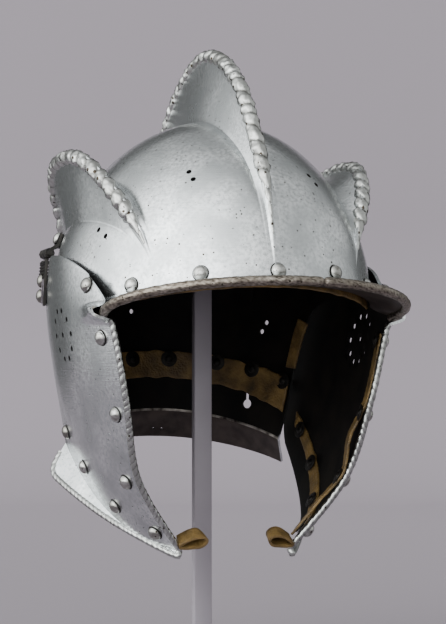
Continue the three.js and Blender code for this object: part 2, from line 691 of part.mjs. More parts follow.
skullRivets("brow_rivet", BROW_RIVETS, browDrills);
skullRivets("nape_rivet", NAPE_RIVETS, napeDrills);
FRONT_RIVETS.forEach((place, k) =>
  rivet(`cheek_front_rivet_${k + 1}`, onCheek(place), LINED_GRIP, SEAT_GAP, [cheekDrills, frontDrills]),
);
FOOT_RIVETS.forEach((place, k) =>
  rivet(`cheek_foot_rivet_${k + 1}`, onCheek(place), LINED_GRIP, SEAT_GAP, [cheekDrills, footDrills]),
);
rivet("lobe_rivet", onCheek(LOBE_RIVET), BARE_GRIP, SEAT_GAP, [cheekDrills]);

const leafLift = HINGE.leaf + 4 * SEAT_GAP;
HINGE_RIVETS.forEach((place, k) =>
  rivet(
    `hinge_rivet_${k + 1}`,
    onCheek(place),
    leafLift + STEEL,
    leafLift,
    [cheekDrills, cheekLeafDrills],
    true,
  ),
);
const skullHingeSpot = onBowl(SKULL_HINGE_RIVET);
const skullLeafLift = HINGE.leaf + FACET_GAP + 3 * SEAT_GAP;
for (const side of bothSides(skullHingeSpot)) skullDrills.push(standing(rivetDrill, side, 0));
rivet("hinge_rivet_3", skullHingeSpot, BARE_GRIP + skullLeafLift, skullLeafLift, [skullLeafDrills]);

for (const place of LACE_HOLES) skullDrills.push(standing(laceDrill, onBowl(place), 0));
for (const place of NECK_HOLES) skullDrills.push(standing(neckDrill, onNeck(place), 0));
skullDrills.push(keyholeCutter());
for (let k = 0; k <= EAR_ROSETTE.holes; k++) {
  const turn = (2 * Math.PI * k) / EAR_ROSETTE.holes;
  const reach = k === EAR_ROSETTE.holes ? 0 : EAR_ROSETTE.radius;
  const place = {
    x: EAR_ROSETTE.x,
    y: EAR_ROSETTE.y + reach * Math.cos(turn),
    h: EAR_ROSETTE.h + reach * Math.sin(turn),
  };
  cheekDrills.push(standing(earDrill, onCheek(place), 0));
}

add(helmet, "skull", cutAway(skullGeometry(), skullDrills), steel);
addPair("cheekpiece", cutAway(cheekGeometry(), cheekDrills), steel);
add(helmet, "brow_band", cutAway(browBand(), browDrills), leather);
add(helmet, "nape_band", cutAway(napeBand(), napeDrills), leather);
addPair("ear_strip", earStrip(), leather);
addPair("cheek_front_strip", cutAway(frontStrip(), frontDrills), leather);
addPair("cheek_foot_strip", cutAway(footStrip(), footDrills), leather);
addPair("tip_loop", tipLoop(), leather);
addPair("hinge_skull_leaf", cutAway(skullLeaf(), skullLeafDrills), iron);
addPair("hinge_cheek_leaf", cutAway(cheekLeaf(), cheekLeafDrills), iron);
addPair("hinge_pin", hingePin(), iron);

const pad = padGeometry();
add(helmet, "stand_pad", pad.geometry, standGrey);
const postHeight = BROW_Z + pad.floor - STAND.baseThick;
const post = new THREE.BoxGeometry(STAND.postWide, STAND.postDeep, postHeight);
post.translate(0, STAND.postY, STAND.baseThick + postHeight / 2);
add(burgonet, "stand_post", post, standGrey);
add(burgonet, "stand_base", baseGeometry(), standGrey);

export default burgonet;
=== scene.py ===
# %% [markdown]
# # A triple-combed burgonet on a bar stand
# The solids of the helmet come in as a frame: they say where every piece sits and what it moves with.
# This lesson dresses that frame. Each piece is modelled again with fine detail and stands for its solid.
# Sizes are in millimetres, and MM turns them into Blender's metres.

# %% The frame
import math

import bpy
import numpy as np
from mathutils import Matrix, Vector, noise


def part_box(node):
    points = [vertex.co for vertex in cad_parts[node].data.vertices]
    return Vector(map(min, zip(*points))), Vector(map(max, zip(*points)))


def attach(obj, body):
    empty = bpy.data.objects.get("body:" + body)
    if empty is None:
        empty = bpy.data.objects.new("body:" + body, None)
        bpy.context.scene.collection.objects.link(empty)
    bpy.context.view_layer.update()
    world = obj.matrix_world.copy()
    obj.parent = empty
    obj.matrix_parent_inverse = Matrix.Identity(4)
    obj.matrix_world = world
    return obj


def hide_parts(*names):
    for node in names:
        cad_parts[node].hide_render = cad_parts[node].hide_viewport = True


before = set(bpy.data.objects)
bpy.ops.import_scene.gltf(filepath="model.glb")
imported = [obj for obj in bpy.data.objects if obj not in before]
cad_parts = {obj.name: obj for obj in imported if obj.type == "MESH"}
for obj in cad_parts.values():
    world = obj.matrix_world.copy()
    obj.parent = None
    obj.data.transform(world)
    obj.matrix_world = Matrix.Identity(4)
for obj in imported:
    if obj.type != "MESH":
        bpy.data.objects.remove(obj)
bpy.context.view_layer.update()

MM = 0.001

# %% [markdown]
# ## The plates as surfaces
# A raised helmet has no flat faces, so its two kinds of plate are written as surfaces: give a place along
# and across, get a point. The bowl is a row of arches, from the brow over the crown to the neck.
# A smooth curve runs through the rows, and the peak and the neck guard are straight flares at its ends.

# %% The bowl's arches
BROW_Z = 232  # height of the temples above the floor
STEEL = 1.8
LEATHER = 1.6
LINING_DEPTH = STEEL + 0.9  # from the outer face to the leather
ARCH_PITCH = 1.12  # above 1, an arch is a little pointed
SIDE_COMB_LEAN = math.radians(25)
# Each row: median y and h, side edge x, y and h, sweep in degrees, middle comb, side comb, side comb's place.
BOWL = np.array([
    [-118, 12, 92, -47, 3, 67, 0, 0, 0.57],
    [-113, 34, 95, -36, 9, 70, 0.8, 0, 0.58],
    [-101, 66, 98, -24, 12, 76, 4, 4, 0.59],
    [-76, 94, 99.5, -12, 13, 82, 14, 18, 0.61],
    [-36, 116, 100, -2, 13.5, 86, 34, 30, 0.63],
    [6, 122, 100, 9, 13.5, 87, 47, 33, 0.635],
    [48, 113, 98.5, 22, 13, 86, 43, 33, 0.63],
    [84, 88, 96, 36, 11, 80, 33, 25, 0.61],
    [108, 55, 92, 48, 6, 74, 14, 6, 0.6],
    [119, 18, 88, 56, -6, 68, 0, 0, 0.6],
    [120, -20, 83, 61, -30, 66, 0, 0, 0.6],
    [118, -44, 78, 65, -60, 66, 0, 0, 0.6],
    [116, -62, 73.5, 69, -82, 66, 0, 0, 0.6],
])
BOWL_END = len(BOWL) - 1
PEAK_RIM = np.array([-150, 12, 93, -74, -5, 100])
NECK_RIM = np.array([128, -79, 79, 77, -97, 68])


def between(table, t):
    """Smooth values between the rows of a table."""
    t = np.asarray(t, float)
    k = np.clip(np.floor(t).astype(int), 0, len(table) - 2)
    s = (t - k)[..., None]
    a, b, c, d = (table[np.clip(k + n, 0, len(table) - 1)] for n in (-1, 0, 1, 2))
    return 0.5 * (2 * b + (c - a) * s + (2 * a - 5 * b + 4 * c - d) * s**2 + (3 * b - a - 3 * c + d) * s**3)


def arch(row, v, pitch):
    """A point of an arch, v from -1 at the right edge to 1 at the left."""
    end = np.radians(row[..., 5])
    foot = np.maximum(np.cos(end), 0) ** pitch if pitch != 1 else np.cos(end)
    rise = np.maximum(np.cos(v * end), 0) ** pitch if pitch != 1 else np.cos(v * end)
    share = (rise - foot) / (1 - foot)
    x = row[..., 2] * np.sin(v * end) / np.sin(end)
    y = row[..., 3] + (row[..., 0] - row[..., 3]) * share
    z = row[..., 4] + (row[..., 1] - row[..., 4]) * share
    return np.stack([x, y, z + BROW_Z], axis=-1)


def bowl(u, v):
    """The bowl without its combs: u from -1 at the peak's rim to BOWL_END + 1 at the neck guard's."""
    u, v = np.broadcast_arrays(np.asarray(u, float), np.asarray(v, float))
    body = arch(between(BOWL, np.clip(u, 0, BOWL_END)), v, ARCH_PITCH)
    rim = np.where((u < 0)[..., None], arch(PEAK_RIM, v, 1), arch(NECK_RIM, v, 1))
    share = np.maximum(np.maximum(-u, u - BOWL_END), 0)[..., None]
    return body + (rim - body) * share


print("crown", bowl(5, 0))

# %% [markdown]
# The cheekpiece is a second surface. Three curves run down it, along its front edge, its middle and its rear
# edge, and a parabola joins them across. A smooth bump in the front edge is the flare that takes the peak.

# %% The cheekpiece's curves
# Each row: front edge x y h, middle x y h, rear edge x y h, for the wearer's left.
CHEEK = np.array([
    [96.5, -48, 20, 102.3, -1, 33.5, 94.8, 47, 31],
    [93, -73, 1.5, 103.6, -6, 6, 91.2, 66, 5],
    [87.5, -77, -21, 99.5, -4, -22, 87.5, 70, -22],
    [79.5, -74, -60, 91.5, -3, -58, 81, 73, -57],
    [68, -61, -106, 80.5, -3, -97, 78.5, 70, -74],
    [37, -46, -149, 65, 4, -128.5, 78, 66, -84],
])
CHEEK_FOOT = np.array([38, -47, -152, 66.8, 5, -131, 89.5, 65, -102])
FOOT_CORNER = 0.12  # share of the foot over which its rear corner is rounded
CORNER_CUT, CORNER_BEND, CORNER_ROUND = 0.99, 5, 0.25  # how far and how roundly that corner is cut
CHEEK_END = len(CHEEK) - 1
PEAK_SLOT = {"h": -5, "out": 10.5, "tall": 4.9, "deep": 16}


def cheek_section(row, v):
    pull = np.stack([(1 - v) * (1 - 2 * v), 4 * v * (1 - v), v * (2 * v - 1)], axis=-1)
    return np.stack([(row[..., axis::3] * pull).sum(axis=-1) for axis in range(3)], axis=-1)


def cheek(u, v):
    """The left cheekpiece: u from 0 at the lobe to CHEEK_END + 1 at the foot's edge, v from front to rear."""
    u, v = np.broadcast_arrays(np.asarray(u, float), np.asarray(v, float))
    row = between(CHEEK, np.clip(u, 0, CHEEK_END))
    p = cheek_section(row, v)
    rise = (p[..., 2] - PEAK_SLOT["h"]) / PEAK_SLOT["tall"]
    back = (p[..., 1] - row[..., 1]) / PEAK_SLOT["deep"]
    p[..., 0] += PEAK_SLOT["out"] * np.exp(-rise**4 - back**2)
    foot = cheek_section(np.broadcast_to(CHEEK_FOOT, row.shape), v)
    corner = np.clip((v - 1 + FOOT_CORNER) / FOOT_CORNER, 0, 1)
    left_over = (1 - CORNER_CUT * corner**CORNER_BEND) ** CORNER_ROUND
    p += (foot - p) * (np.maximum(u - CHEEK_END, 0) * left_over)[..., None]
    p[..., 2] += BROW_Z
    return p


NORMAL_STEP = 0.02
SEEK_ROUNDS, SEEK_STOPS = 4, 41


def normal_of(surface, u, v):
    """The outward normal. The cheekpiece's v runs the other way, so its cross product is turned round."""
    along = surface(u + NORMAL_STEP, v) - surface(u - NORMAL_STEP, v)
    across = surface(u, v + NORMAL_STEP) - surface(u, v - NORMAL_STEP)
    n = np.cross(across, along) * (-1 if surface is cheek else 1)
    return n / np.linalg.norm(n, axis=-1, keepdims=True)


def seat(surface, goal, u_range, v_range):
    """The point of a surface nearest to a goal, and the normal there. Each round searches a smaller patch."""
    (u0, u1), (v0, v1) = u_range, v_range
    halves = (SEEK_STOPS - 1) / 2
    for _ in range(SEEK_ROUNDS):
        us, vs = np.meshgrid(np.linspace(u0, u1, SEEK_STOPS), np.linspace(v0, v1, SEEK_STOPS), indexing="ij")
        k = np.argmin(np.linalg.norm(surface(us, vs) - goal, axis=-1))
        u, v = us.flat[k], vs.flat[k]
        du, dv = (u1 - u0) / halves, (v1 - v0) / halves
        u0, u1 = max(u_range[0], u - du), min(u_range[1], u + du)
        v0, v1 = max(v_range[0], v - dv), min(v_range[1], v + dv)
    return surface(u, v), normal_of(surface, u, v)


def on_bowl(goal):
    return seat(bowl, goal, (NORMAL_STEP, BOWL_END), (-1, 1))


def on_neck(goal):
    return seat(bowl, goal, (BOWL_END, BOWL_END + 1), (-1, 1))


def on_cheek(goal):
    return seat(cheek, goal, (0, CHEEK_END), (0, 1))


print("cheekpiece's tip", cheek(CHEEK_END, 0))

# %% [markdown]
# ## Materials
# The steel was raised by hammer, filed and polished by hand. It is bright, but not a mirror: fine scratches
# spread the highlights, and centuries of handling left small dark pits. A metal's colour goes straight into
# its reflections, so its base colour is a light neutral grey.
# One function turns a hex colour to linear light, and one adds a node with its settings and links.

# %% Helpers for materials
def linear(code):
    """A linear colour from an sRGB hex code."""
    parts = [int(code[k:k + 2], 16) / 255 for k in (1, 3, 5)]
    return [c / 12.92 if c <= 0.04045 else ((c + 0.055) / 1.055) ** 2.4 for c in parts] + [1]


def node(tree, kind, links=None, **settings):
    """Adds a node. Links maps an input to a value or to the output that feeds it."""
    made = tree.nodes.new(kind)
    for name, value in settings.items():
        setattr(made, name, value)
    for socket, value in (links or {}).items():
        if isinstance(value, bpy.types.NodeSocket):
            tree.links.new(value, made.inputs[socket])
        else:
            made.inputs[socket].default_value = value
    return made


def new_material(name):
    material = bpy.data.materials.new(name)
    material.use_nodes = True
    tree = material.node_tree
    shader = tree.nodes["Principled BSDF"]
    place = node(tree, "ShaderNodeTexCoord").outputs["Object"]
    return material, tree, shader, place


def per_metre(size_mm):
    """A texture scale whose features are about this many millimetres across."""
    return 1 / (size_mm * MM)


def blend_colours(tree, share, a, b):
    """Mix's colour sockets share their names with its other sockets, so they are taken by number."""
    mixed = node(tree, "ShaderNodeMix", {0: share, 6: a, 7: b}, data_type="RGBA")
    return mixed.outputs[2]


print("linear mid grey", linear("#808080")[0])

# %% Hand-polished steel
CLOUD_MM, SPECKLE_MM, SCRATCH_MM = 30, 2.2, 0.8  # scratches are drawn coarse enough to show
SCRATCH_STRETCH = (0.06, 0.06, 1)  # they run level round the helmet
SHEEN_CHANGE = 0.04  # how much duller or glossier a cloud is
PIT_COLOUR = "#3b342c"


def polished_steel(name, bright, dull, rough, pit_share, pit_mm, shade_and_dirt=None):
    """Polished steel: clouds over a fine speckle, pits, scratches, and painted shade in rope grooves and rust
    stains, where a mesh marks them.
    """
    material, tree, shader, place = new_material(name)
    cloud = node(tree, "ShaderNodeTexNoise", {"Vector": place, "Scale": per_metre(CLOUD_MM), "Detail": 5})
    patches = node(tree, "ShaderNodeMapRange", {
        "Value": cloud.outputs["Fac"], "From Min": 0.35, "From Max": 0.65})
    speckle = node(tree, "ShaderNodeTexNoise", {"Vector": place, "Scale": per_metre(SPECKLE_MM), "Detail": 8})
    fine = node(tree, "ShaderNodeMapRange", {
        "Value": speckle.outputs["Fac"], "From Min": 0.3, "From Max": 0.6})
    patches = node(tree, "ShaderNodeMath", {0: patches.outputs[0], 1: fine.outputs[0]}, operation="MULTIPLY")
    tone = blend_colours(tree, patches.outputs[0], linear(dull), linear(bright))
    if shade_and_dirt:
        # The attribute marks painted shade in a rope's grooves and rust stains on the peak's roll, and this
        # colour is laid on there.
        groove_shade_and_stain = node(tree, "ShaderNodeAttribute", attribute_name="groove_shade_and_stain").outputs["Fac"]
        tone = blend_colours(tree, groove_shade_and_stain, tone, linear(shade_and_dirt))
    grains = node(tree, "ShaderNodeTexVoronoi", {"Vector": place, "Scale": per_metre(pit_mm)})
    chance = node(tree, "ShaderNodeSeparateColor", {"Color": grains.outputs["Color"]}).outputs["Red"]
    reach = node(tree, "ShaderNodeMapRange", {
        "Value": chance, "From Min": 0.5, "From Max": 1, "To Min": 0, "To Max": pit_share})
    pits = node(tree, "ShaderNodeMath", {
        0: grains.outputs["Distance"], 1: reach.outputs[0]}, operation="LESS_THAN")
    tone = blend_colours(tree, pits.outputs[0], tone, linear(PIT_COLOUR))
    tree.links.new(tone, shader.inputs["Base Color"])
    shader.inputs["Metallic"].default_value = 1
    sheen = node(tree, "ShaderNodeMapRange", {
        "Value": cloud.outputs["Fac"], "From Min": 0.3, "From Max": 0.7,
        "To Min": rough + SHEEN_CHANGE, "To Max": rough - SHEEN_CHANGE})
    tree.links.new(sheen.outputs[0], shader.inputs["Roughness"])
    level = node(tree, "ShaderNodeMapping", {"Vector": place, "Scale": SCRATCH_STRETCH})
    scratches = node(tree, "ShaderNodeTexNoise", {
        "Vector": level.outputs[0], "Scale": per_metre(SCRATCH_MM), "Detail": 3})
    lines = node(tree, "ShaderNodeBump", {
        "Height": scratches.outputs["Fac"], "Strength": 0.2, "Distance": 0.3 * MM})
    dips = node(tree, "ShaderNodeBump", {
        "Height": pits.outputs[0], "Normal": lines.outputs[0], "Strength": 0.5,
        "Distance": 0.4 * MM}, invert=True)
    tree.links.new(dips.outputs[0], shader.inputs["Normal"])
    return material


bright_steel = polished_steel(
    "hand-polished steel", "#eef1f2", "#b7bbbc", rough=0.24, pit_share=0.22, pit_mm=2.9)
rivet_steel = polished_steel(
    "worn rivet steel", "#d0d1ce", "#85837d", rough=0.2, pit_share=0.24, pit_mm=3)
# The groove colours of the combs and cheekpieces are painted shade in the rope grooves. The turned edge's
# colour is rust stain.
comb_steel = polished_steel(
    "roped steel of the combs", "#d3d5d3", "#a7a8a4", rough=0.28, pit_share=0.36, pit_mm=3.6, shade_and_dirt="#37322b")
edge_steel = polished_steel(
    "roped steel of the cheekpieces", "#c3c5c3", "#9b9c99", rough=0.28, pit_share=0.2, pit_mm=4,
    shade_and_dirt="#1f1c19")
roll_steel = polished_steel(
    "turned edge, rust-stained", "#b3aba0", "#82796e", rough=0.4, pit_share=0.3, pit_mm=2.4, shade_and_dirt="#352d26")
print(bright_steel.name, rivet_steel.name, comb_steel.name)

# %% [markdown]
# The roped edges are the same steel, filed into strands. Their grooves are darkened with painted shade, so
# those meshes carry an attribute that marks the grooves, and the material turns it into brown. The inside was
# never polished. It keeps the black skin of the forge, with brown rust on it, painted near-black so that it
# also stands for the shade inside the bowl, and is rough enough to swallow the light. Under the peak and on
# the neck guard, where hands and neck rubbed, the skin has worn to a dull brown.

# %% Unpolished iron
def rough_iron(name, light, dark, metal, rough, grain_mm, relief, gloss=0.5):
    """Unpolished iron: mottled from dark to light, with a relief as coarse as its grain."""
    material, tree, shader, place = new_material(name)
    mottle = node(tree, "ShaderNodeTexNoise", {"Vector": place, "Scale": per_metre(grain_mm), "Detail": 6})
    share = node(tree, "ShaderNodeMapRange", {
        "Value": mottle.outputs["Fac"], "From Min": 0.35, "From Max": 0.7})
    tone = blend_colours(tree, share.outputs[0], linear(dark), linear(light))
    tree.links.new(tone, shader.inputs["Base Color"])
    shader.inputs["Metallic"].default_value = metal
    shader.inputs["Roughness"].default_value = rough
    shader.inputs["Specular IOR Level"].default_value = gloss
    bump = node(tree, "ShaderNodeBump", {
        "Height": mottle.outputs["Fac"], "Strength": relief, "Distance": 1 * MM})
    tree.links.new(bump.outputs[0], shader.inputs["Normal"])
    return material


# Near-black iron for the inside of the plates: its own dark skin, painted darker still to stand for the shade
# inside the bowl.
forge_skin_and_shade = rough_iron(
    "black forge skin and painted shade", "#17130f", "#060505", metal=0, rough=0.65, grain_mm=14, relief=0.25, gloss=0.2)
worn_skin = rough_iron(
    "brown worn skin", "#4d443f", "#322b28", metal=0.5, rough=0.5, grain_mm=10, relief=0.2)
rubbed_crease = rough_iron(
    "rubbed crease", "#b9b3aa", "#332d29", metal=0.8, rough=0.4, grain_mm=7, relief=0.3)
black_iron = rough_iron(
    "black iron", "#2b2723", "#0f0e0d", metal=0.6, rough=0.5, grain_mm=3, relief=0.4)
print(forge_skin_and_shade.name, worn_skin.name, black_iron.name)

# %% [markdown]
# The lining's straps are vegetable-tanned leather. Age has blotched it dark and roughened its grain, and it
# has only a weak gloss left. The stand is steel too, but painted a plain satin grey, so it uses the function
# for iron without metal and almost without relief.

# %% Leather and paint
BLOTCH_MM, GRAIN_MM = 12, 1.5


def tanned_leather(name, light, dark):
    """Old tanned leather: blotched, finely grained, with a weak gloss."""
    material, tree, shader, place = new_material(name)
    blotch = node(tree, "ShaderNodeTexNoise", {"Vector": place, "Scale": per_metre(BLOTCH_MM), "Detail": 6})
    share = node(tree, "ShaderNodeMapRange", {
        "Value": blotch.outputs["Fac"], "From Min": 0.3, "From Max": 0.7})
    tone = blend_colours(tree, share.outputs[0], linear(dark), linear(light))
    tree.links.new(tone, shader.inputs["Base Color"])
    shader.inputs["Roughness"].default_value = 0.5
    shader.inputs["IOR"].default_value = 1.47
    grain = node(tree, "ShaderNodeTexVoronoi", {"Vector": place, "Scale": per_metre(GRAIN_MM)})
    bump = node(tree, "ShaderNodeBump", {
        "Height": grain.outputs["Distance"], "Strength": 0.6, "Distance": 0.6 * MM})
    tree.links.new(bump.outputs[0], shader.inputs["Normal"])
    return material


leather = tanned_leather("old tanned leather", "#866c3e", "#3b2e1a")
stand_paint = rough_iron(
    "satin grey paint", "#979198", "#8f8990", metal=0, rough=0.45, grain_mm=40, relief=0.02)
print(leather.name, stand_paint.name)

# %% [markdown]
# ## Laying a net
# The plates and strips start as a grid primitive. Its points are laid over a surface, row by row, and the
# wall gets its thickness from a Solidify modifier. Rolled and roped edges are a grid too, wrapped round a
# path, with the seam merged and the ends filled.

# %% Helpers for meshes
def lone(piece):
    bpy.ops.object.select_all(action="DESELECT")
    piece.select_set(True)
    bpy.context.view_layer.objects.active = piece


def net(name, points):
    """A grid primitive laid over rows and columns of points, given in millimetres."""
    rows, columns = points.shape[:2]
    bpy.ops.object.select_all(action="DESELECT")
    bpy.ops.mesh.primitive_grid_add(x_subdivisions=columns - 1, y_subdivisions=rows - 1, size=1)
    piece = bpy.context.object
    piece.name = name
    piece.data.vertices.foreach_set("co", (points * MM).reshape(-1))
    piece.data.update()
    return piece


def apply(piece, kind, **settings):
    """Adds a modifier and applies it at once."""
    lone(piece)
    modifier = piece.modifiers.new(kind.lower(), kind)
    for name, value in settings.items():
        setattr(modifier, name, value)
    bpy.ops.object.modifier_apply(modifier=modifier.name)


def edit(piece, *steps):
    """Runs edit-mode operators on all of a piece."""
    lone(piece)
    bpy.ops.object.mode_set(mode="EDIT")
    bpy.ops.mesh.select_all(action="SELECT")
    for operator, settings in steps:
        operator(**settings)
    bpy.ops.object.mode_set(mode="OBJECT")


def smooth(piece, degrees):
    lone(piece)
    bpy.ops.object.shade_smooth_by_angle(angle=math.radians(degrees))


def dress(piece, body, slot, *nodes):
    """The piece rides a body and stands for these solids."""
    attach(piece, body)
    if nodes:
        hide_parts(*nodes)
    print(piece.name, len(piece.data.polygons), "faces")


def other_side(piece, name):
    """A copy for the wearer's right. Mirroring turns a mesh inside out, so its faces are flipped back."""
    twin = piece.copy()
    twin.data = piece.data.copy()
    twin.name = name
    bpy.context.collection.objects.link(twin)
    twin.data.transform(Matrix.Diagonal((-1, 1, 1, 1)))
    twin.data.flip_normals()
    return twin


def hammered(points, normals, size_mm, depth_mm):
    """Shallow dents, as a planishing hammer leaves them."""
    flat = points.reshape(-1, 3)
    lift = np.array([noise.noise(Vector(p / size_mm)) for p in flat]).reshape(points.shape[:2])
    return points + normals * (lift * depth_mm)[..., None]


def net_normals(points):
    across = np.gradient(points, axis=1)
    along = np.gradient(points, axis=0)
    n = np.cross(across, along)
    return n / np.maximum(np.linalg.norm(n, axis=-1, keepdims=True), 1e-9)


print("helpers ready")

# %% [markdown]
# ## The skull
# The skull was raised from one plate, and its combs were drawn up out of the bowl, so they are hollow.
# A chisel sharpened the crease at their feet. They are thick in the middle and thin at both ends, so the
# front half of a comb faces a little forwards and its rear half backwards. Here the bowl's arch is pulled up
# along the comb's own direction: straight along the normal for the middle comb, leaning outwards for the
# side combs.

# %% A comb's profile
COMB_HALF, COMB_END_HALF = 3, 1.4  # half a comb's thickness under its rope, and where it dies out
COMB_SPREAD = {"least": 2, "middle": 0.15, "side": 0.3}  # what the foot adds: in mm, and per mm of height
FLANK_CURVE = 1.5  # above 1, a flank is hollow
CREASE = {"wide": 2.6, "deep": 0.45, "full": 6}  # at the foot, with its full depth under a comb this tall


def comb_profile(height, share):
    """Out from the middle and up, for every height: a round top, a hollow flank and a crease at its foot."""
    height = height[:, None]
    half = np.minimum(COMB_HALF, height / 2 + COMB_END_HALF)
    turn = np.radians([0, 30, 60, 90])[None, :]
    top_out = half * np.sin(turn)
    top_up = height - half * (1 - np.cos(turn))
    t = np.linspace(0, 1, 11)[None, 1:]
    foot = half + COMB_SPREAD["least"] + share * height
    flank_out = half + (foot - half) * t**FLANK_CURVE
    flank_up = (height - half) * (1 - t)
    crease_out = foot + CREASE["wide"] * np.array([[0.2, 0.5, 1]])
    crease_up = -CREASE["deep"] * np.clip(height / CREASE["full"], 0, 1) * np.array([[1, 0.6, 0]])
    out = np.concatenate([top_out, flank_out, crease_out], axis=1)
    return out, np.concatenate([np.maximum(top_up, 0), np.maximum(flank_up, 0), crease_up], axis=1)


def comb_rows(u):
    """For every row: comb heights, the side comb's place and the directions the combs stand in."""
    row = between(BOWL, np.clip(u, 0, BOWL_END))
    inside = np.clip(u, NORMAL_STEP, BOWL_END - NORMAL_STEP)
    up = normal_of(bowl, inside, np.zeros_like(u))
    face = normal_of(bowl, inside, row[:, 8])
    lean = np.stack([np.full_like(u, math.sin(SIDE_COMB_LEAN)), face[:, 1],
                     np.full_like(u, math.cos(SIDE_COMB_LEAN))], axis=1)
    lean /= np.linalg.norm(lean, axis=1, keepdims=True)
    return np.maximum(row[:, 6], 0), np.maximum(row[:, 7], 0), row[:, 8], up, lean


def arch_length(u):
    line = bowl(u[:, None], np.linspace(0, 1, 25)[None, :])
    return np.linalg.norm(np.diff(line, axis=1), axis=-1).sum(axis=1)


print("comb foot", COMB_SPREAD)

# %% The skull's net
def skull_points(u):
    """One row of points per u, from the right edge over the middle comb to the left edge."""
    comb, side, place, up, lean = comb_rows(u)
    per_mm = 1 / arch_length(u)[:, None]
    out, lift = comb_profile(comb, COMB_SPREAD["middle"])
    side_out, side_lift = comb_profile(side, COMB_SPREAD["side"])
    place = place[:, None]
    root, side_root = out[:, -1:] * per_mm, side_out[:, -1:] * per_mm
    spread = np.linspace(0, 1, 15)[None, :]

    def raised(v, direction, height):
        return bowl(u[:, None], v) + direction[:, None, :] * height[..., None]

    left = [
        raised(out * per_mm, up, lift),
        bowl(u[:, None], root + (place - root - side_root) * spread[:, 1:-1]),
        raised(place - side_out[:, ::-1] * per_mm, lean, side_lift[:, ::-1]),
        raised(place + side_out[:, 1:] * per_mm, lean, side_lift[:, 1:]),
        bowl(u[:, None], place + side_root + (1 - place - side_root) * spread[:, 1:]),
    ]
    left = np.concatenate(left, axis=1)
    right = left[:, :0:-1] * [-1, 1, 1]
    return np.concatenate([right, left], axis=1)


skull_rows = np.concatenate([
    np.linspace(-1, 0, 10)[:-1], np.linspace(0, BOWL_END, 130), BOWL_END + np.linspace(0, 1, 9)[1:]])
points = skull_points(skull_rows)
points = hammered(points, net_normals(points), size_mm=26, depth_mm=0.12)
skull = net("skull_plate", points)
# The inner faces get the near-black finish, which paints the shade inside the bowl.
skull_finishes = [bright_steel, forge_skin_and_shade, worn_skin, rubbed_crease]
for material in skull_finishes:
    skull.data.materials.append(material)
apply(skull, "SOLIDIFY", thickness=STEEL * MM, offset=-1, use_even_offset=False, material_offset=1,
      material_offset_rim=0)

# The inner faces follow the outer ones in the same order, so a face's number gives its row.
ROW_SLACK = 0.05
cells = (len(skull_rows) - 1) * (points.shape[1] - 1)
row_of = np.repeat(skull_rows[1:], points.shape[1] - 1)
for u, face in zip(row_of, skull.data.polygons[cells:2 * cells]):
    if u < ROW_SLACK or u > BOWL_END + ROW_SLACK:
        face.material_index = skull_finishes.index(worn_skin)
    elif u > BOWL_END - ROW_SLACK:
        face.material_index = skull_finishes.index(rubbed_crease)
print("skull", len(skull.data.vertices), "points")

# %% [markdown]
# Holes are cut with a Boolean modifier. Cutters that stay clear of one another are joined first, so that one
# cut makes many holes. Most lace holes sit in pairs, and one keyhole slot is at the wearer's left rear.

# %% Cutters
CUTTER_LONG = 16
BURST_BELOW = 0.3  # a burst hole opens from this far under the outer face


def peg(spot, normal, radius, sides=20, flare=0):
    """A cutter across a plate: a round one, or one that opens by flare towards the inside of the plate."""
    bpy.ops.object.select_all(action="DESELECT")
    turn = Vector(normal).to_track_quat("Z", "Y").to_euler()
    if flare:
        bpy.ops.mesh.primitive_cone_add(
            vertices=sides, radius1=(radius + 2 * flare) * MM, radius2=radius * MM, depth=2 * STEEL * MM,
            location=Vector(spot - normal * (STEEL + BURST_BELOW)) * MM, rotation=turn)
    else:
        bpy.ops.mesh.primitive_cylinder_add(
            vertices=sides, radius=radius * MM, depth=CUTTER_LONG * MM, location=Vector(spot) * MM,
            rotation=turn)
    return bpy.context.object


def join(pieces, name):
    bpy.ops.object.select_all(action="DESELECT")
    for piece in pieces:
        piece.select_set(True)
    bpy.context.view_layer.objects.active = pieces[0]
    bpy.ops.object.join()
    pieces[0].name = name
    lone(pieces[0])
    bpy.ops.object.transform_apply(location=True, rotation=True, scale=True)
    return pieces[0]


def cut(piece, cutters):
    tool = join(cutters, "cutters")
    tool.data.materials.clear()
    # Hole walls get the near-black finish, which paints their shade.
    tool.data.materials.append(forge_skin_and_shade)
    apply(piece, "BOOLEAN", operation="DIFFERENCE", object=tool, solver="EXACT", material_mode="TRANSFER")
    bpy.data.objects.remove(tool)


LACE_HOLES = [
    (38, -80, 83), (42, -83, 77), (-42.5, -78, 83), (-41, -83, 77), (84, -46, 49.5), (85, -55, 45),
    (-86, -38, 47), (-86, -48, 43), (70, 84, -2), (67, 86, -8), (-70, 84, -2), (-67, 86, -8),
    (37, 112, 14), (-18, 119, 6)]
NECK_HOLES = [(0.5, 124, -74), (6.5, 124, -74)]
LACE_RADIUS = 1.7
NECK_RADIUS = 0.9
KEYHOLE = {"at": (60, 93, -58), "radius": 3.2, "slot": 2.4, "reach": 9}

holes = []
for x, y, h in LACE_HOLES:
    holes.append(peg(*on_bowl(np.array([x, y, h + BROW_Z])), LACE_RADIUS))
for x, y, h in NECK_HOLES:
    holes.append(peg(*on_neck(np.array([x, y, h + BROW_Z])), NECK_RADIUS))
key_spot, key_normal = on_bowl(np.array(KEYHOLE["at"]) + [0, 0, BROW_Z])
holes.append(peg(key_spot, key_normal, KEYHOLE["radius"]))
bpy.ops.mesh.primitive_cube_add(
    size=1, scale=(KEYHOLE["slot"] * MM, CUTTER_LONG * MM, KEYHOLE["reach"] * MM),
    location=Vector(key_spot + [0, 0, KEYHOLE["reach"] / 2]) * MM,
    rotation=(0, 0, -math.atan2(key_normal[0], key_normal[1])))
slot_cutter = bpy.context.object
cut(skull, holes)
cut(skull, [slot_cutter])
smooth(skull, 40)
dress(skull, "helmet", "bright_steel", "skull")
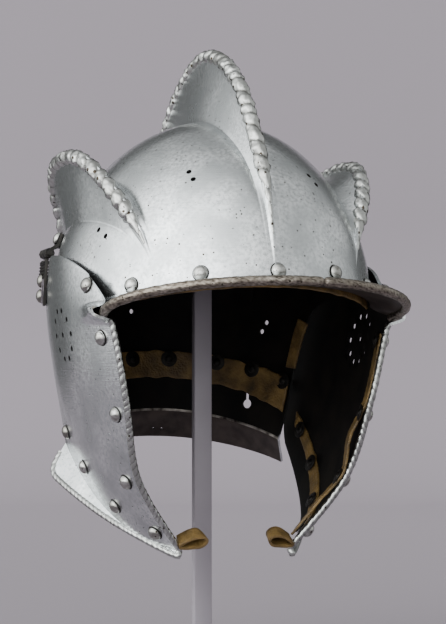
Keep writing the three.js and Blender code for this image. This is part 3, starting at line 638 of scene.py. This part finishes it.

# %% [markdown]
# ## Roped edges
# The crest of each comb is a roll, filed into the strands of a rope. A roped edge here is a tube of points
# round a path. Its radius swells and drops in strands that wind round the tube as it goes along, and where it
# is lowest, painted shade for the groove is stored as an attribute for the material, together with any rust
# stain.

# %% A rope round a path
UNEVEN = {"share": 0.45, "over": 1.7}  # in pitches: how far strands stray, and over what length
SEED_APART = 7.3
VALLEY = 0.97  # how near to a half circle a strand's section comes
WEAR, STAIN = (4, 3), (1.8, 5)  # length in mm of a patch, and how fine it is round the tube
GROOVE_SHADE = {"from": 0.72, "span": 0.28}  # where painted groove shade begins between two crests, and the rest of the way
STREAK = {"gain": 1.6, "base": 0.35}


def lengths_along(path):
    """How far each point of a path is from its start."""
    return np.concatenate([[0], np.cumsum(np.linalg.norm(np.diff(path, axis=0), axis=1))])


def tube_noise(along, turn, patch, seed):
    """Noise all over a tube, which meets itself at the seam."""
    long, fine = patch
    return np.array([[noise.noise(Vector((s / long, fine * math.cos(a), fine * math.sin(a) + seed)))
                      for a in turn] for s in along])


def rope(name, path, ups, radius, pitch, twist, depth, ripple, around=24, seed=0, streak=0):
    """A tube along a path in millimetres. twist is how many strands one turn round the tube crosses."""
    tangent = np.gradient(path, axis=0)
    tangent /= np.linalg.norm(tangent, axis=1, keepdims=True)
    up = ups - tangent * (ups * tangent).sum(axis=1, keepdims=True)
    up /= np.linalg.norm(up, axis=1, keepdims=True)
    side = np.cross(tangent, up)
    along = lengths_along(path)
    turn = np.linspace(0, 2 * math.pi, around + 1)
    stray = UNEVEN["over"] * pitch
    uneven = np.array([noise.noise(Vector((seed * SEED_APART, s / stray, 0))) for s in along])
    phase = (along / pitch + UNEVEN["share"] * uneven)[:, None] + twist * turn[None, :] / (2 * math.pi)
    beat = np.abs((phase % 1) - 0.5) * 2
    valley = 1 - np.sqrt(1 - (VALLEY * beat) ** 2)
    radius = np.broadcast_to(radius, along.shape)[:, None]
    reach = radius * (1 - depth * valley + ripple * tube_noise(along, turn, WEAR, seed))
    points = path[:, None] + reach[..., None] * (
        up[:, None] * np.cos(turn)[None, :, None] + side[:, None] * np.sin(turn)[None, :, None])
    # Painted shade: the grooves between strands are darkened. The streak adds rust stains.
    shade_and_dirt = np.clip((depth > 0) * (beat - GROOVE_SHADE["from"]) / GROOVE_SHADE["span"], 0, 1) ** 2
    stain = STREAK["gain"] * tube_noise(along, turn, STAIN, seed) + STREAK["base"]
    shade_and_dirt = shade_and_dirt + streak * np.clip(stain, 0, 1)
    piece = net(name, points)
    groove_shade_and_stain = piece.data.attributes.new("groove_shade_and_stain", "FLOAT", "POINT")
    groove_shade_and_stain.data.foreach_set("value", np.clip(shade_and_dirt, 0, 1).reshape(-1))
    edit(piece, (bpy.ops.mesh.remove_doubles, {"threshold": 1e-6}), (bpy.ops.mesh.fill_holes, {"sides": 0}),
         (bpy.ops.mesh.normals_make_consistent, {"inside": False}))
    smooth(piece, 80)
    return piece


def evenly(path, extra, step):
    """A path, and values that go with it, at even steps."""
    along = lengths_along(path)
    stops = np.linspace(0, along[-1], int(along[-1] / step) + 1)

    def pick(table):
        return np.stack([np.interp(stops, along, column) for column in table.T], axis=1)

    return pick(path), pick(extra)


print("rope ready")

# %% The combs' ropes
COMB_ROPE = {"radius": 4.9, "pitch": 10.5, "step": 0.6, "sunk": 0.75}
ROPE_END = {"comb": 1.2, "radius": 0.8, "swell": 0.6}  # starts on a comb this tall, and swells as it rises
ROPE_ROWS = (1.1, 9)


def comb_rope(name, which):
    """The rope on one comb's crest: which is 0 for the middle comb, 1 for the left one."""
    u = np.linspace(*ROPE_ROWS, 400)
    comb, side, place, up, lean = comb_rows(u)
    height = side if which else comb
    direction = lean if which else up
    crest = bowl(u, place if which else np.zeros_like(u)) + direction * height[:, None]
    keep = height > ROPE_END["comb"]
    radius = ROPE_END["radius"] + (height[keep] - ROPE_END["comb"]) * ROPE_END["swell"]
    radius = np.clip(radius, 0, COMB_ROPE["radius"])[:, None]
    path = crest[keep] - direction[keep] * radius * COMB_ROPE["sunk"]
    path, extra = evenly(path, np.concatenate([direction[keep], radius], axis=1), COMB_ROPE["step"])
    return rope(name, path, extra[:, :3], extra[:, 3], COMB_ROPE["pitch"], twist=1, depth=0.4, ripple=0.2,
                seed=which)


middle_rope = comb_rope("middle_comb_rope", 0)
left_rope = comb_rope("side_comb_rope_left", 1)
right_rope = other_side(left_rope, "side_comb_rope_right")
for piece in (middle_rope, left_rope, right_rope):
    piece.data.materials.append(comb_steel)
    dress(piece, "helmet", "bright_steel")

# %% [markdown]
# The peak's front edge is turned under round a wire, which makes a smooth roll. It is scuffed and stained
# with rust, and one blow left a nick in it. The function for ropes makes it too: without depth it has no
# strands, whatever their pitch.

# %% The peak's turned edge
PEAK_ROLL = {"radius": 2.9, "row": -0.97, "reach": 0.995, "under": 1.2, "step": 0.7}
NICK = {"x": 17.5, "half": 1.1, "deep": 0.45}
rim_v = np.linspace(-PEAK_ROLL["reach"], PEAK_ROLL["reach"], 700)
rim_path = bowl(np.full_like(rim_v, PEAK_ROLL["row"]), rim_v)
rim_up = np.broadcast_to(np.array([0, 0, 1.0]), rim_path.shape)
rim_path, rim_up = evenly(rim_path - np.array([0, 0, PEAK_ROLL["under"]]), rim_up, PEAK_ROLL["step"])
nick = NICK["deep"] * np.exp(-((rim_path[:, 0] - NICK["x"]) / NICK["half"]) ** 2)
peak_roll = rope("peak_turned_edge", rim_path, rim_up, PEAK_ROLL["radius"] * (1 - nick), pitch=400, twist=0,
                 depth=0, ripple=0.14, seed=5, streak=0.85)
peak_roll.data.materials.append(roll_steel)
dress(peak_roll, "helmet", "bright_steel")

# %% [markdown]
# ## Cheekpieces
# Each cheekpiece is a plate of its own, with a ring of holes over the ear so that its wearer could hear.
# The holes were punched from outside and open out wide on the inside. The left cheekpiece is made, cut and
# roped, and then mirrored.

# %% Cheekpiece plates
EAR_ROSETTE = {"at": (103, -9, -17), "radius": 16, "holes": 10, "hole": 1.7, "burr": 3.1}

FLARE = {"from": 0.9, "to": 1.9, "reach": 0.25}  # the net is closer where the front edge takes the peak
cheek_u = np.concatenate([
    np.linspace(0, FLARE["from"], 18)[:-1], np.linspace(FLARE["from"], FLARE["to"], 40)[:-1],
    np.linspace(FLARE["to"], CHEEK_END, 60), CHEEK_END + np.linspace(0, 1, 12)[1:]])
cheek_v = np.concatenate([
    1 - FOOT_CORNER * np.linspace(0, 1, 14)[:-1] ** 2,
    np.linspace(1 - FOOT_CORNER, FLARE["reach"], 32)[:-1], np.linspace(FLARE["reach"], 0, 22)])
points = cheek(cheek_u[:, None], cheek_v[None, :])
points = hammered(points, net_normals(points), size_mm=24, depth_mm=0.12)
cheekpiece = net("cheekpiece_plate_left", points)
# The inside gets the near-black finish, which paints the shade behind the cheekpiece.
for material in (bright_steel, forge_skin_and_shade):
    cheekpiece.data.materials.append(material)
apply(cheekpiece, "SOLIDIFY", thickness=STEEL * MM, offset=-1, use_even_offset=False, material_offset=1,
      material_offset_rim=0)

ear = np.array(EAR_ROSETTE["at"]) + [0, 0, BROW_Z]
ear_spots = [ear]
for k in range(EAR_ROSETTE["holes"]):
    turn = 2 * math.pi * k / EAR_ROSETTE["holes"]
    ear_spots.append(ear + EAR_ROSETTE["radius"] * np.array([0, math.cos(turn), math.sin(turn)]))
ear_holes = [peg(*on_cheek(spot), EAR_ROSETTE["hole"], sides=14) for spot in ear_spots]
burst_holes = [
    peg(*on_cheek(spot), EAR_ROSETTE["hole"], sides=14, flare=EAR_ROSETTE["burr"]) for spot in ear_spots]
cut(cheekpiece, burst_holes)
cut(cheekpiece, ear_holes)
smooth(cheekpiece, 40)
cheek_twin = other_side(cheekpiece, "cheekpiece_plate_right")
dress(cheekpiece, "cheek_left", "bright_steel", "cheekpiece_left")
dress(cheek_twin, "cheek_right", "bright_steel", "cheekpiece_right")

# %% The cheekpieces' ropes
EDGE_ROPE = {"radius": 2.15, "pitch": 4.4, "step": 0.45, "start": 1.62}
INSIDE = {"v": 0.03, "u": 0.9}  # an edge's normals are taken a little inside it
front_u = np.linspace(EDGE_ROPE["start"], CHEEK_END + 1, 300)
foot_v = np.concatenate([
    np.linspace(0, 1 - FOOT_CORNER, 160)[1:], 1 - FOOT_CORNER * np.linspace(1, 0, 60)[1:] ** 2])
edge = np.concatenate([
    cheek(front_u, np.zeros_like(front_u)), cheek(np.full_like(foot_v, CHEEK_END + 1), foot_v)])
before_foot = np.full_like(foot_v, CHEEK_END + INSIDE["u"])
outward = np.concatenate([
    normal_of(cheek, front_u, np.full_like(front_u, INSIDE["v"])),
    normal_of(cheek, before_foot, np.minimum(foot_v, 1 - FOOT_CORNER))])
edge, outward = evenly(edge - outward * STEEL / 2, outward, EDGE_ROPE["step"])
edge_rope = rope("cheek_edge_rope_left", edge, outward, EDGE_ROPE["radius"], EDGE_ROPE["pitch"], twist=2,
                 depth=0.24, ripple=0.08, around=14, seed=3)
edge_rope.data.materials.append(edge_steel)
edge_twin = other_side(edge_rope, "cheek_edge_rope_right")
dress(edge_rope, "cheek_left", "bright_steel")
dress(edge_twin, "cheek_right", "bright_steel")

# %% [markdown]
# ## Rivets
# The rivets have a hammered dome outside, and inside a spread tail on a round iron washer, which keeps them
# from pulling through the leather. A thin black ring round each dome paints its contact shadow, with some
# dirt. Two are modelled from a sphere cut in half: one that holds leather, and a shorter one with a smaller
# washer for bare plates. Each copy is set at its solid's place, square to the plate.

# %% Two rivets to copy
# The black ring a little wider than each dome is painted contact shadow, with some dirt.
RIVET = {"radius": 4.6, "height": 3.4, "shade_and_dirt": 0.6, "shade_and_dirt_thick": 0.5, "soft_edge": 0.3}
WASHER = {"lined": 5.6, "bare": 3.2, "thick": 0.9}
RIVET_TAIL = {"radius": 2.8, "out": 0.7, "flat": 0.5}


def rivet_master(grip, washer):
    """A rivet at the origin, its plate's outer face at z 0 and its tail at -grip."""
    bpy.ops.object.select_all(action="DESELECT")
    bpy.ops.mesh.primitive_uv_sphere_add(segments=24, ring_count=16, radius=RIVET["radius"] * MM)
    head = bpy.context.object
    edit(head, (bpy.ops.mesh.bisect, {"plane_co": (0, 0, 0), "plane_no": (0, 0, 1), "clear_inner": True,
                                      "use_fill": True}),
         (bpy.ops.mesh.select_all, {"action": "SELECT"}),
         (bpy.ops.transform.resize, {"value": (1, 1, RIVET["height"] / RIVET["radius"])}))
    head.data.materials.append(rivet_steel)
    # A thin black ring round the dome: painted contact shadow, with some dirt.
    bpy.ops.mesh.primitive_cylinder_add(
        vertices=24, radius=(RIVET["radius"] + RIVET["shade_and_dirt"]) * MM, depth=RIVET["shade_and_dirt_thick"] * MM)
    ring = bpy.context.object
    bpy.ops.mesh.primitive_cylinder_add(
        vertices=20, radius=washer * MM, depth=WASHER["thick"] * MM,
        location=(0, 0, -(grip + WASHER["thick"] / 2) * MM))
    disc = bpy.context.object
    bpy.ops.mesh.primitive_uv_sphere_add(
        segments=14, ring_count=8, radius=RIVET_TAIL["radius"] * MM,
        location=(0, 0, -(grip + RIVET_TAIL["out"]) * MM), scale=(1, 1, RIVET_TAIL["flat"]))
    tail = bpy.context.object
    for piece in (ring, disc, tail):
        piece.data.materials.append(black_iron)
    master = join([head, ring, disc, tail], "rivet")
    apply(master, "BEVEL", width=RIVET["soft_edge"] * MM, segments=2, limit_method="ANGLE",
          angle_limit=math.radians(50))
    smooth(master, 50)
    return master


lined = rivet_master(LINING_DEPTH + LEATHER, WASHER["lined"])
bare = rivet_master(STEEL, WASHER["bare"])
print(lined.name, bare.name)

# %% Every rivet in its place
def middle_of(name):
    low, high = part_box(name)
    return (np.array(low) + np.array(high)) / 2 / MM


HINGE_LEAF, LEAF_GAP = 1.8, 0.9  # a leaf's thickness, and how far it stands off the plate
HEAD_SUNK = 0.1
for name in sorted(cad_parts):
    if "rivet" not in name:
        continue
    on_skull = name.startswith(("brow", "nape", "hinge_rivet_3"))
    centre = middle_of(name)
    flip = np.array([-1 if name.endswith("right") else 1, 1, 1])
    spot, normal = (on_bowl if on_skull else on_cheek)(centre * flip)
    body = "helmet" if on_skull else "cheek_" + name.rsplit("_", 1)[1]
    lift = HINGE_LEAF + LEAF_GAP if name.startswith("hinge") else -HEAD_SUNK
    master = bare if name.startswith(("hinge", "lobe")) else lined
    copy = master.copy()
    copy.data = master.data.copy()
    copy.name = "domed_" + name
    bpy.context.collection.objects.link(copy)
    spin = Matrix.Rotation(noise.noise(Vector(centre)) * math.pi, 4, "Z")
    place = Matrix.Translation(Vector((spot + normal * lift) * flip) * MM)
    turn = Vector(normal * flip).to_track_quat("Z", "Y").to_matrix().to_4x4()
    copy.data.transform(place @ turn @ spin)
    dress(copy, body, "rivet_steel", name)
for master in (lined, bare):
    bpy.data.objects.remove(master)

# %% [markdown]
# ## Leather lining
# Strips of leather were riveted in to carry a sewn lining, now gone. They are stiff with age, their edges
# are wavy, and they stand a little off the steel. Each is a net laid inside its plate, thickened inwards and
# given rounded edges.

# %% Helpers for leather
STRIP_GAP = 0.3
CRUMPLE = {"high": 0.35, "row": 0.5, "column": 0.17, "edge": 0.21}  # height in mm, and waves per step


def finish_leather(piece):
    """Rounded edges, faces turned outwards and leather all over."""
    apply(piece, "BEVEL", width=0.5 * MM, segments=2, limit_method="ANGLE", angle_limit=math.radians(60))
    edit(piece, (bpy.ops.mesh.normals_make_consistent, {"inside": False}))
    piece.data.materials.append(leather)
    smooth(piece, 50)


def strip(name, surface, us, vs, wave, seed, stand_off=0):
    """A leather strip inside a surface: us and vs are its rows and columns, wave its uneven edge in mm."""
    points = surface(us, vs)
    normals = normal_of(surface, us, vs)
    rows, columns = points.shape[:2]
    width_way = np.gradient(points, axis=0)
    width_way /= np.linalg.norm(width_way, axis=-1, keepdims=True)
    lift = np.zeros((rows, columns))
    for j in range(columns):
        edge = noise.noise(Vector((j * CRUMPLE["edge"], seed, 0))) * wave
        for i in range(rows):
            place = Vector((i * CRUMPLE["row"], j * CRUMPLE["column"], seed))
            lift[i, j] = CRUMPLE["high"] * noise.noise(place)
            points[i, j] += width_way[i, j] * edge * (2 * i / (rows - 1) - 1)
    piece = net(name, points - normals * (LINING_DEPTH + STRIP_GAP + lift + stand_off)[..., None])
    apply(piece, "SOLIDIFY", thickness=LEATHER * MM, offset=1 if surface is cheek else -1)
    finish_leather(piece)
    return piece


def rows_and_columns(rows, columns):
    return np.meshgrid(np.linspace(0, 1, rows), np.linspace(0, 1, columns), indexing="ij")


print("leather ready")

# %% The skull's strips
BROW = {"reach": 0.9, "hem": -0.1, "drop": 0.4, "top": 0.68, "turn": 0.1, "step": 0.3}
NAPE = {"middle": 10.42, "drop": 0.36, "half": 0.38, "reach": 1.0, "ruffle": 0.8, "waves": 9}
EAR_STRIP = {"top": 8.8, "rows": 1.35, "front": 0.95, "wide": 0.085}


def below_brow(u, v):
    """The bowl near the brow, going on straight down where the bowl turns out into the peak."""
    start, next_row = bowl(BROW["turn"], v), bowl(BROW["turn"] + BROW["step"], v)
    straight = start + (next_row - start) * ((np.asarray(u) - BROW["turn"]) / BROW["step"])[..., None]
    return np.where((np.asarray(u) < BROW["turn"])[..., None], straight, bowl(u, v))


i, j = rows_and_columns(10, 120)
across = -BROW["reach"] + 2 * BROW["reach"] * j
hem = BROW["hem"] - BROW["drop"] * across**2
brow_band = strip("brow_leather", below_brow, hem + (BROW["top"] - hem) * i, across, wave=0.6, seed=1)
dress(brow_band, "helmet", "lining_leather", "brow_band")

across = NAPE["reach"] * (2 * j - 1)
nape_row = NAPE["middle"] + NAPE["drop"] * across**2 + NAPE["half"] * (2 * i - 1)
ruffle = NAPE["ruffle"] * np.abs(np.sin(NAPE["waves"] * across)) * across**2
nape_band = strip("nape_leather", bowl, nape_row, across, wave=1.4, seed=2, stand_off=ruffle)
dress(nape_band, "helmet", "lining_leather", "nape_band")

i, j = rows_and_columns(30, 8)
ear_row = EAR_STRIP["top"] + EAR_STRIP["rows"] * i
across = EAR_STRIP["front"] + EAR_STRIP["wide"] * j
ear_strip = strip("ear_leather_left", bowl, ear_row, across, wave=0.6, seed=3)
ear_twin = other_side(ear_strip, "ear_leather_right")
dress(ear_strip, "helmet", "lining_leather", "ear_strip_left")
dress(ear_twin, "helmet", "lining_leather", "ear_strip_right")

# %% [markdown]
# The strip along a cheekpiece's front edge buckles away from the steel half-way down. Lower down it lies over
# the foot strip and runs on to the tip. The foot strip rises backwards from the crease above the foot, so its
# rows are found by climbing the surface from there.

# %% Cheekpiece strips
FRONT_STRIP = {"top": 1.8, "rows": 3.08, "inner": 0.155, "wide": 0.095}
BUCKLE = {"row": 3.5, "half": 0.32, "high": 4.5}
OVERLAP = {"row": 3.95, "over": 0.4, "high": 3.6}  # where it climbs onto the foot strip
FOOT_STRIP = {"above": 2, "climb": 21.5, "wide": 11, "front": 0.13, "rear": 0.9}


def row_above(v, distances):
    """The row that lies some millimetres above the crease of the foot, for every v and its distance."""
    climb = CHEEK_END - np.linspace(0, 2, 201)
    rows = []
    for one, distance in zip(v, distances):
        line = cheek(climb, np.full_like(climb, one))
        rows.append(np.interp(distance, lengths_along(line), climb))
    return np.array(rows)


i, j = rows_and_columns(110, 8)
down = FRONT_STRIP["top"] + FRONT_STRIP["rows"] * i
buckle = BUCKLE["high"] * np.exp(-((down - BUCKLE["row"]) / BUCKLE["half"]) ** 2)
buckle = buckle + OVERLAP["high"] * np.clip((down - OVERLAP["row"]) / OVERLAP["over"], 0, 1)
front_strip = strip("cheek_front_leather_left", cheek, down, FRONT_STRIP["inner"] - FRONT_STRIP["wide"] * j,
                    wave=0.5, seed=4, stand_off=buckle)
front_twin = other_side(front_strip, "cheek_front_leather_right")
dress(front_strip, "cheek_left", "lining_leather", "cheek_front_strip_left")
dress(front_twin, "cheek_right", "lining_leather", "cheek_front_strip_right")

i, j = rows_and_columns(8, 80)
across = FOOT_STRIP["rear"] + (FOOT_STRIP["front"] - FOOT_STRIP["rear"]) * j
low_edge = FOOT_STRIP["above"] + FOOT_STRIP["climb"] * across[0]
low = row_above(across[0], low_edge)
high = row_above(across[0], low_edge + FOOT_STRIP["wide"])
foot_strip = strip("cheek_foot_leather_left", cheek, high + (low - high) * i, across, wave=1.0, seed=6)
foot_twin = other_side(foot_strip, "cheek_foot_leather_right")
dress(foot_strip, "cheek_left", "lining_leather", "cheek_foot_strip_left")
dress(foot_twin, "cheek_right", "lining_leather", "cheek_foot_strip_right")

# %% [markdown]
# At the tip the strap turns back on itself in a loop, which took the chin lace. Seen from its end the loop is
# a drop: pinched together at the cheekpiece's tip and round at the far end.

# %% Tip loops
LOOP = {"start": (37, -45, -144), "long": 16.5, "half_tall": 4.6, "wide": 10}
DROP = {"skew": 0.16, "pinch": 1.2, "apart": 0.9}  # one side is longer, and the ends lie a little apart
out_way = np.array([-0.955, -0.2, 0.21])
wide_way = np.array([-0.1, 0.82, 0.56])
tall_way = np.cross(out_way, wide_way)
tall_way *= np.sign(tall_way[2]) / np.linalg.norm(tall_way)
round_drop, over = np.meshgrid(np.linspace(0, 2 * math.pi, 60), np.linspace(-0.5, 0.5, 8), indexing="ij")
far_out = LOOP["long"] * (1 - np.cos(round_drop)) / 2 * (1 - DROP["skew"] * over)
rise = LOOP["half_tall"] * np.sin(round_drop) * np.sin(round_drop / 2) ** DROP["pinch"]
rise = rise + DROP["apart"] * (1 - round_drop / math.pi)
points = (np.array(LOOP["start"]) + [0, 0, BROW_Z] + far_out[..., None] * out_way + rise[..., None] * tall_way
          + (LOOP["wide"] * over)[..., None] * wide_way)
tip_loop = net("tip_leather_left", hammered(points, net_normals(points), size_mm=5, depth_mm=0.5))
apply(tip_loop, "SOLIDIFY", thickness=LEATHER * MM, offset=0)
finish_leather(tip_loop)
tip_twin = other_side(tip_loop, "tip_leather_right")
dress(tip_loop, "cheek_left", "lining_leather", "tip_loop_left")
dress(tip_twin, "cheek_right", "lining_leather", "tip_loop_right")

# %% [markdown]
# ## Small pieces from their solids
# The hinges and the stand have simple shapes, and their solids already carry them. A copy of each solid is
# merged, its flat facets are dissolved into whole faces, and its edges are bevelled so that they catch the
# light. The cheekpiece's leaf of each hinge is filed into ridges, which are bars laid across it on edge.

# %% Bevelled copies
def bevelled(name, finish, body, slot, width, angle):
    """A copy of a solid with clean faces and soft edges, standing for it."""
    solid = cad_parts[name]
    copy = solid.copy()
    copy.data = solid.data.copy()
    copy.name = "finished_" + name
    copy.parent = None
    bpy.context.collection.objects.link(copy)
    copy.matrix_world = solid.matrix_world
    copy.data.transform(copy.matrix_world)
    copy.matrix_world = Matrix.Identity(4)
    copy.data.materials.clear()
    copy.data.materials.append(finish)
    edit(copy, (bpy.ops.mesh.remove_doubles, {"threshold": 2e-5}),
         (bpy.ops.mesh.dissolve_limited, {"angle_limit": math.radians(4)}))
    apply(copy, "BEVEL", width=width * MM, segments=2, limit_method="ANGLE", angle_limit=math.radians(angle))
    smooth(copy, 40)
    dress(copy, body, slot, name)


RIDGE = {"x": 97.5, "y": 42, "from": 23, "to": 33, "pitch": 2, "thick": 2.2, "long": 14, "lift": 2.8}
for side in ("left", "right"):
    bevelled(f"hinge_skull_leaf_{side}", black_iron, "helmet", "black_iron", width=0.25, angle=40)
    bevelled(f"hinge_cheek_leaf_{side}", black_iron, f"cheek_{side}", "black_iron", width=0.25, angle=40)
    bevelled(f"hinge_pin_{side}", black_iron, "helmet", "black_iron", width=0.2, angle=60)
    bars = []
    for h in np.arange(RIDGE["from"], RIDGE["to"] + RIDGE["pitch"] / 2, RIDGE["pitch"]):
        spot, normal = on_cheek(np.array([RIDGE["x"], RIDGE["y"], h + BROW_Z]))
        spot = (spot + normal * RIDGE["lift"]) * [1 if side == "left" else -1, 1, 1]
        bpy.ops.mesh.primitive_cube_add(
            size=1, scale=Vector((RIDGE["thick"], RIDGE["long"], RIDGE["thick"])) * MM,
            location=Vector(spot) * MM, rotation=(0, math.pi / 4, 0))
        bars.append(bpy.context.object)
    ridges = join(bars, f"hinge_ridges_{side}")
    ridges.data.materials.append(black_iron)
    dress(ridges, f"cheek_{side}", "black_iron")
for name, width in (("stand_pad", 1.0), ("stand_post", 0.8), ("stand_base", 1.5)):
    bevelled(name, stand_paint, "helmet", "stand_grey", width, angle=25)

# %% [markdown]
# ## Studio
# The helmet stands on a plain sweep of grey paper, square to the camera, which the light makes pale. Polished
# steel shows what is round it: a tent of light on all sides with a large soft window on the left, a dimmer
# floor, and a dark room behind the paper. So the plates shade from white to grey, and turn dark in a sharp
# band where they bend away from the camera.

# %% Backdrop
AZIMUTH, ELEVATION, DISTANCE = math.radians(-19.5), math.radians(-3), 1350  # of the camera, in millimetres
SWEEP = {"wide": 2200, "front": -1300, "back": 3300, "high": 1600, "turn": 600}


def backdrop():
    """A floor that curves up into a wall, square to the camera."""
    bend = np.linspace(0, math.pi / 2, 16)
    line = [(SWEEP["front"], 0)]
    for a in bend:
        line.append((SWEEP["back"] - SWEEP["turn"] * (1 - math.sin(a)), SWEEP["turn"] * (1 - math.cos(a))))
    line.append((SWEEP["back"], SWEEP["high"]))
    half = SWEEP["wide"] / 2
    points = np.array([[(x, y, z) for x in (-half, half)] for y, z in line])
    paper = net("paper_sweep", points @ np.array(Matrix.Rotation(AZIMUTH, 3, "Z")).T)
    smooth(paper, 60)
    return paper


paper, _, shader, _ = new_material("matte paper")
shader.inputs["Base Color"].default_value = linear("#857e85")
shader.inputs["Roughness"].default_value = 0.95
sweep = backdrop()
sweep.data.materials.append(paper)
print("backdrop", SWEEP)

# %% The tent and a soft lamp
TENT = {"fill": 1.0, "window": 5.0, "toward": (-0.9, -0.29, 0.33)}
DIMMED = {"below": 0.7, "overhead": 0.6, "beside": 0.6}  # shares of that light
DARK_ROOM = 0.12
# Where one light goes over into the next: by a direction's height, or by how nearly it points behind.
HORIZON, ROOF = (-0.05, 0.25), (0.4, 1)
BESIDE, BEHIND = (0.1, 0.66), (0.66, 0.74)
LAMP = {"spread": 90, "strength": 0.35, "shines": (0.5, 0.8, -0.7)}

world = bpy.data.worlds.new("tent with a window on the left, dark behind")
world.use_nodes = True
tree = world.node_tree
direction = node(tree, "ShaderNodeTexCoord").outputs["Generated"]
height = node(tree, "ShaderNodeSeparateXYZ", {"Vector": direction}).outputs["Z"]


def dot(way):
    return node(
        tree, "ShaderNodeVectorMath", {0: direction, 1: way}, operation="DOT_PRODUCT").outputs["Value"]


def blend(value, start, end, low, high):
    """A value that goes from low to high while another goes from start to end."""
    return node(tree, "ShaderNodeMapRange", {
        "Value": value, "From Min": start, "From Max": end, "To Min": low, "To Max": high}).outputs[0]


def times(a, b):
    return node(tree, "ShaderNodeMath", {0: a, 1: b}, operation="MULTIPLY").outputs[0]


facing = blend(dot(TENT["toward"]), 0, 1, 0, 1)
glow = node(tree, "ShaderNodeMath", {0: times(facing, facing), 1: TENT["window"], 2: TENT["fill"]},
            operation="MULTIPLY_ADD").outputs[0]
glow = times(glow, blend(height, *HORIZON, DIMMED["below"], blend(height, *ROOF, 1, DIMMED["overhead"])))
behind = dot((-math.sin(AZIMUTH), math.cos(AZIMUTH), 0))
glow = times(glow, blend(behind, *BESIDE, 1, DIMMED["beside"]))
strength = blend(behind, *BEHIND, glow, DARK_ROOM)
tree.nodes["Background"].inputs["Color"].default_value = linear("#f3f5f5")
tree.links.new(strength, tree.nodes["Background"].inputs["Strength"])
bpy.context.scene.world = world

lamp = bpy.data.lights.new("soft lamp", "SUN")
lamp.angle = math.radians(LAMP["spread"])
lamp.energy = LAMP["strength"]
sun = bpy.data.objects.new("soft lamp", lamp)
sun.rotation_euler = Vector(LAMP["shines"]).to_track_quat("-Z", "Y").to_euler()
bpy.context.collection.objects.link(sun)
print("tent", TENT)

# %% [markdown]
# ## Camera
# The picture was taken from the helmet's front right, a little below its brow, with a long lens. The focal
# length follows from the distance and from how large the helmet is in the frame.

# %% The photograph's angle
IMAGE = {"wide": 446, "tall": 624}
PX_PER_MM = 1.56  # at the bowl's axis
AXIS_PX = (211, 312)  # where the bowl's axis meets the height of the temples

toward = Vector((math.sin(AZIMUTH) * math.cos(ELEVATION), -math.cos(AZIMUTH) * math.cos(ELEVATION),
                 math.sin(ELEVATION)))
rightward = Vector((math.cos(AZIMUTH), math.sin(AZIMUTH), 0))
target = Vector((0, 0, BROW_Z)) + rightward * ((IMAGE["wide"] / 2 - AXIS_PX[0]) / PX_PER_MM)
eye = bpy.data.cameras.new("long lens")
eye.sensor_width = 36
eye.lens = eye.sensor_width * PX_PER_MM * DISTANCE / IMAGE["tall"]
camera = bpy.data.objects.new("camera", eye)
camera.location = (target + toward * DISTANCE) * MM
camera.rotation_euler = (-toward).to_track_quat("-Z", "Y").to_euler()
bpy.context.collection.objects.link(camera)
bpy.context.scene.camera = camera
print("lens", round(eye.lens, 1), "mm")
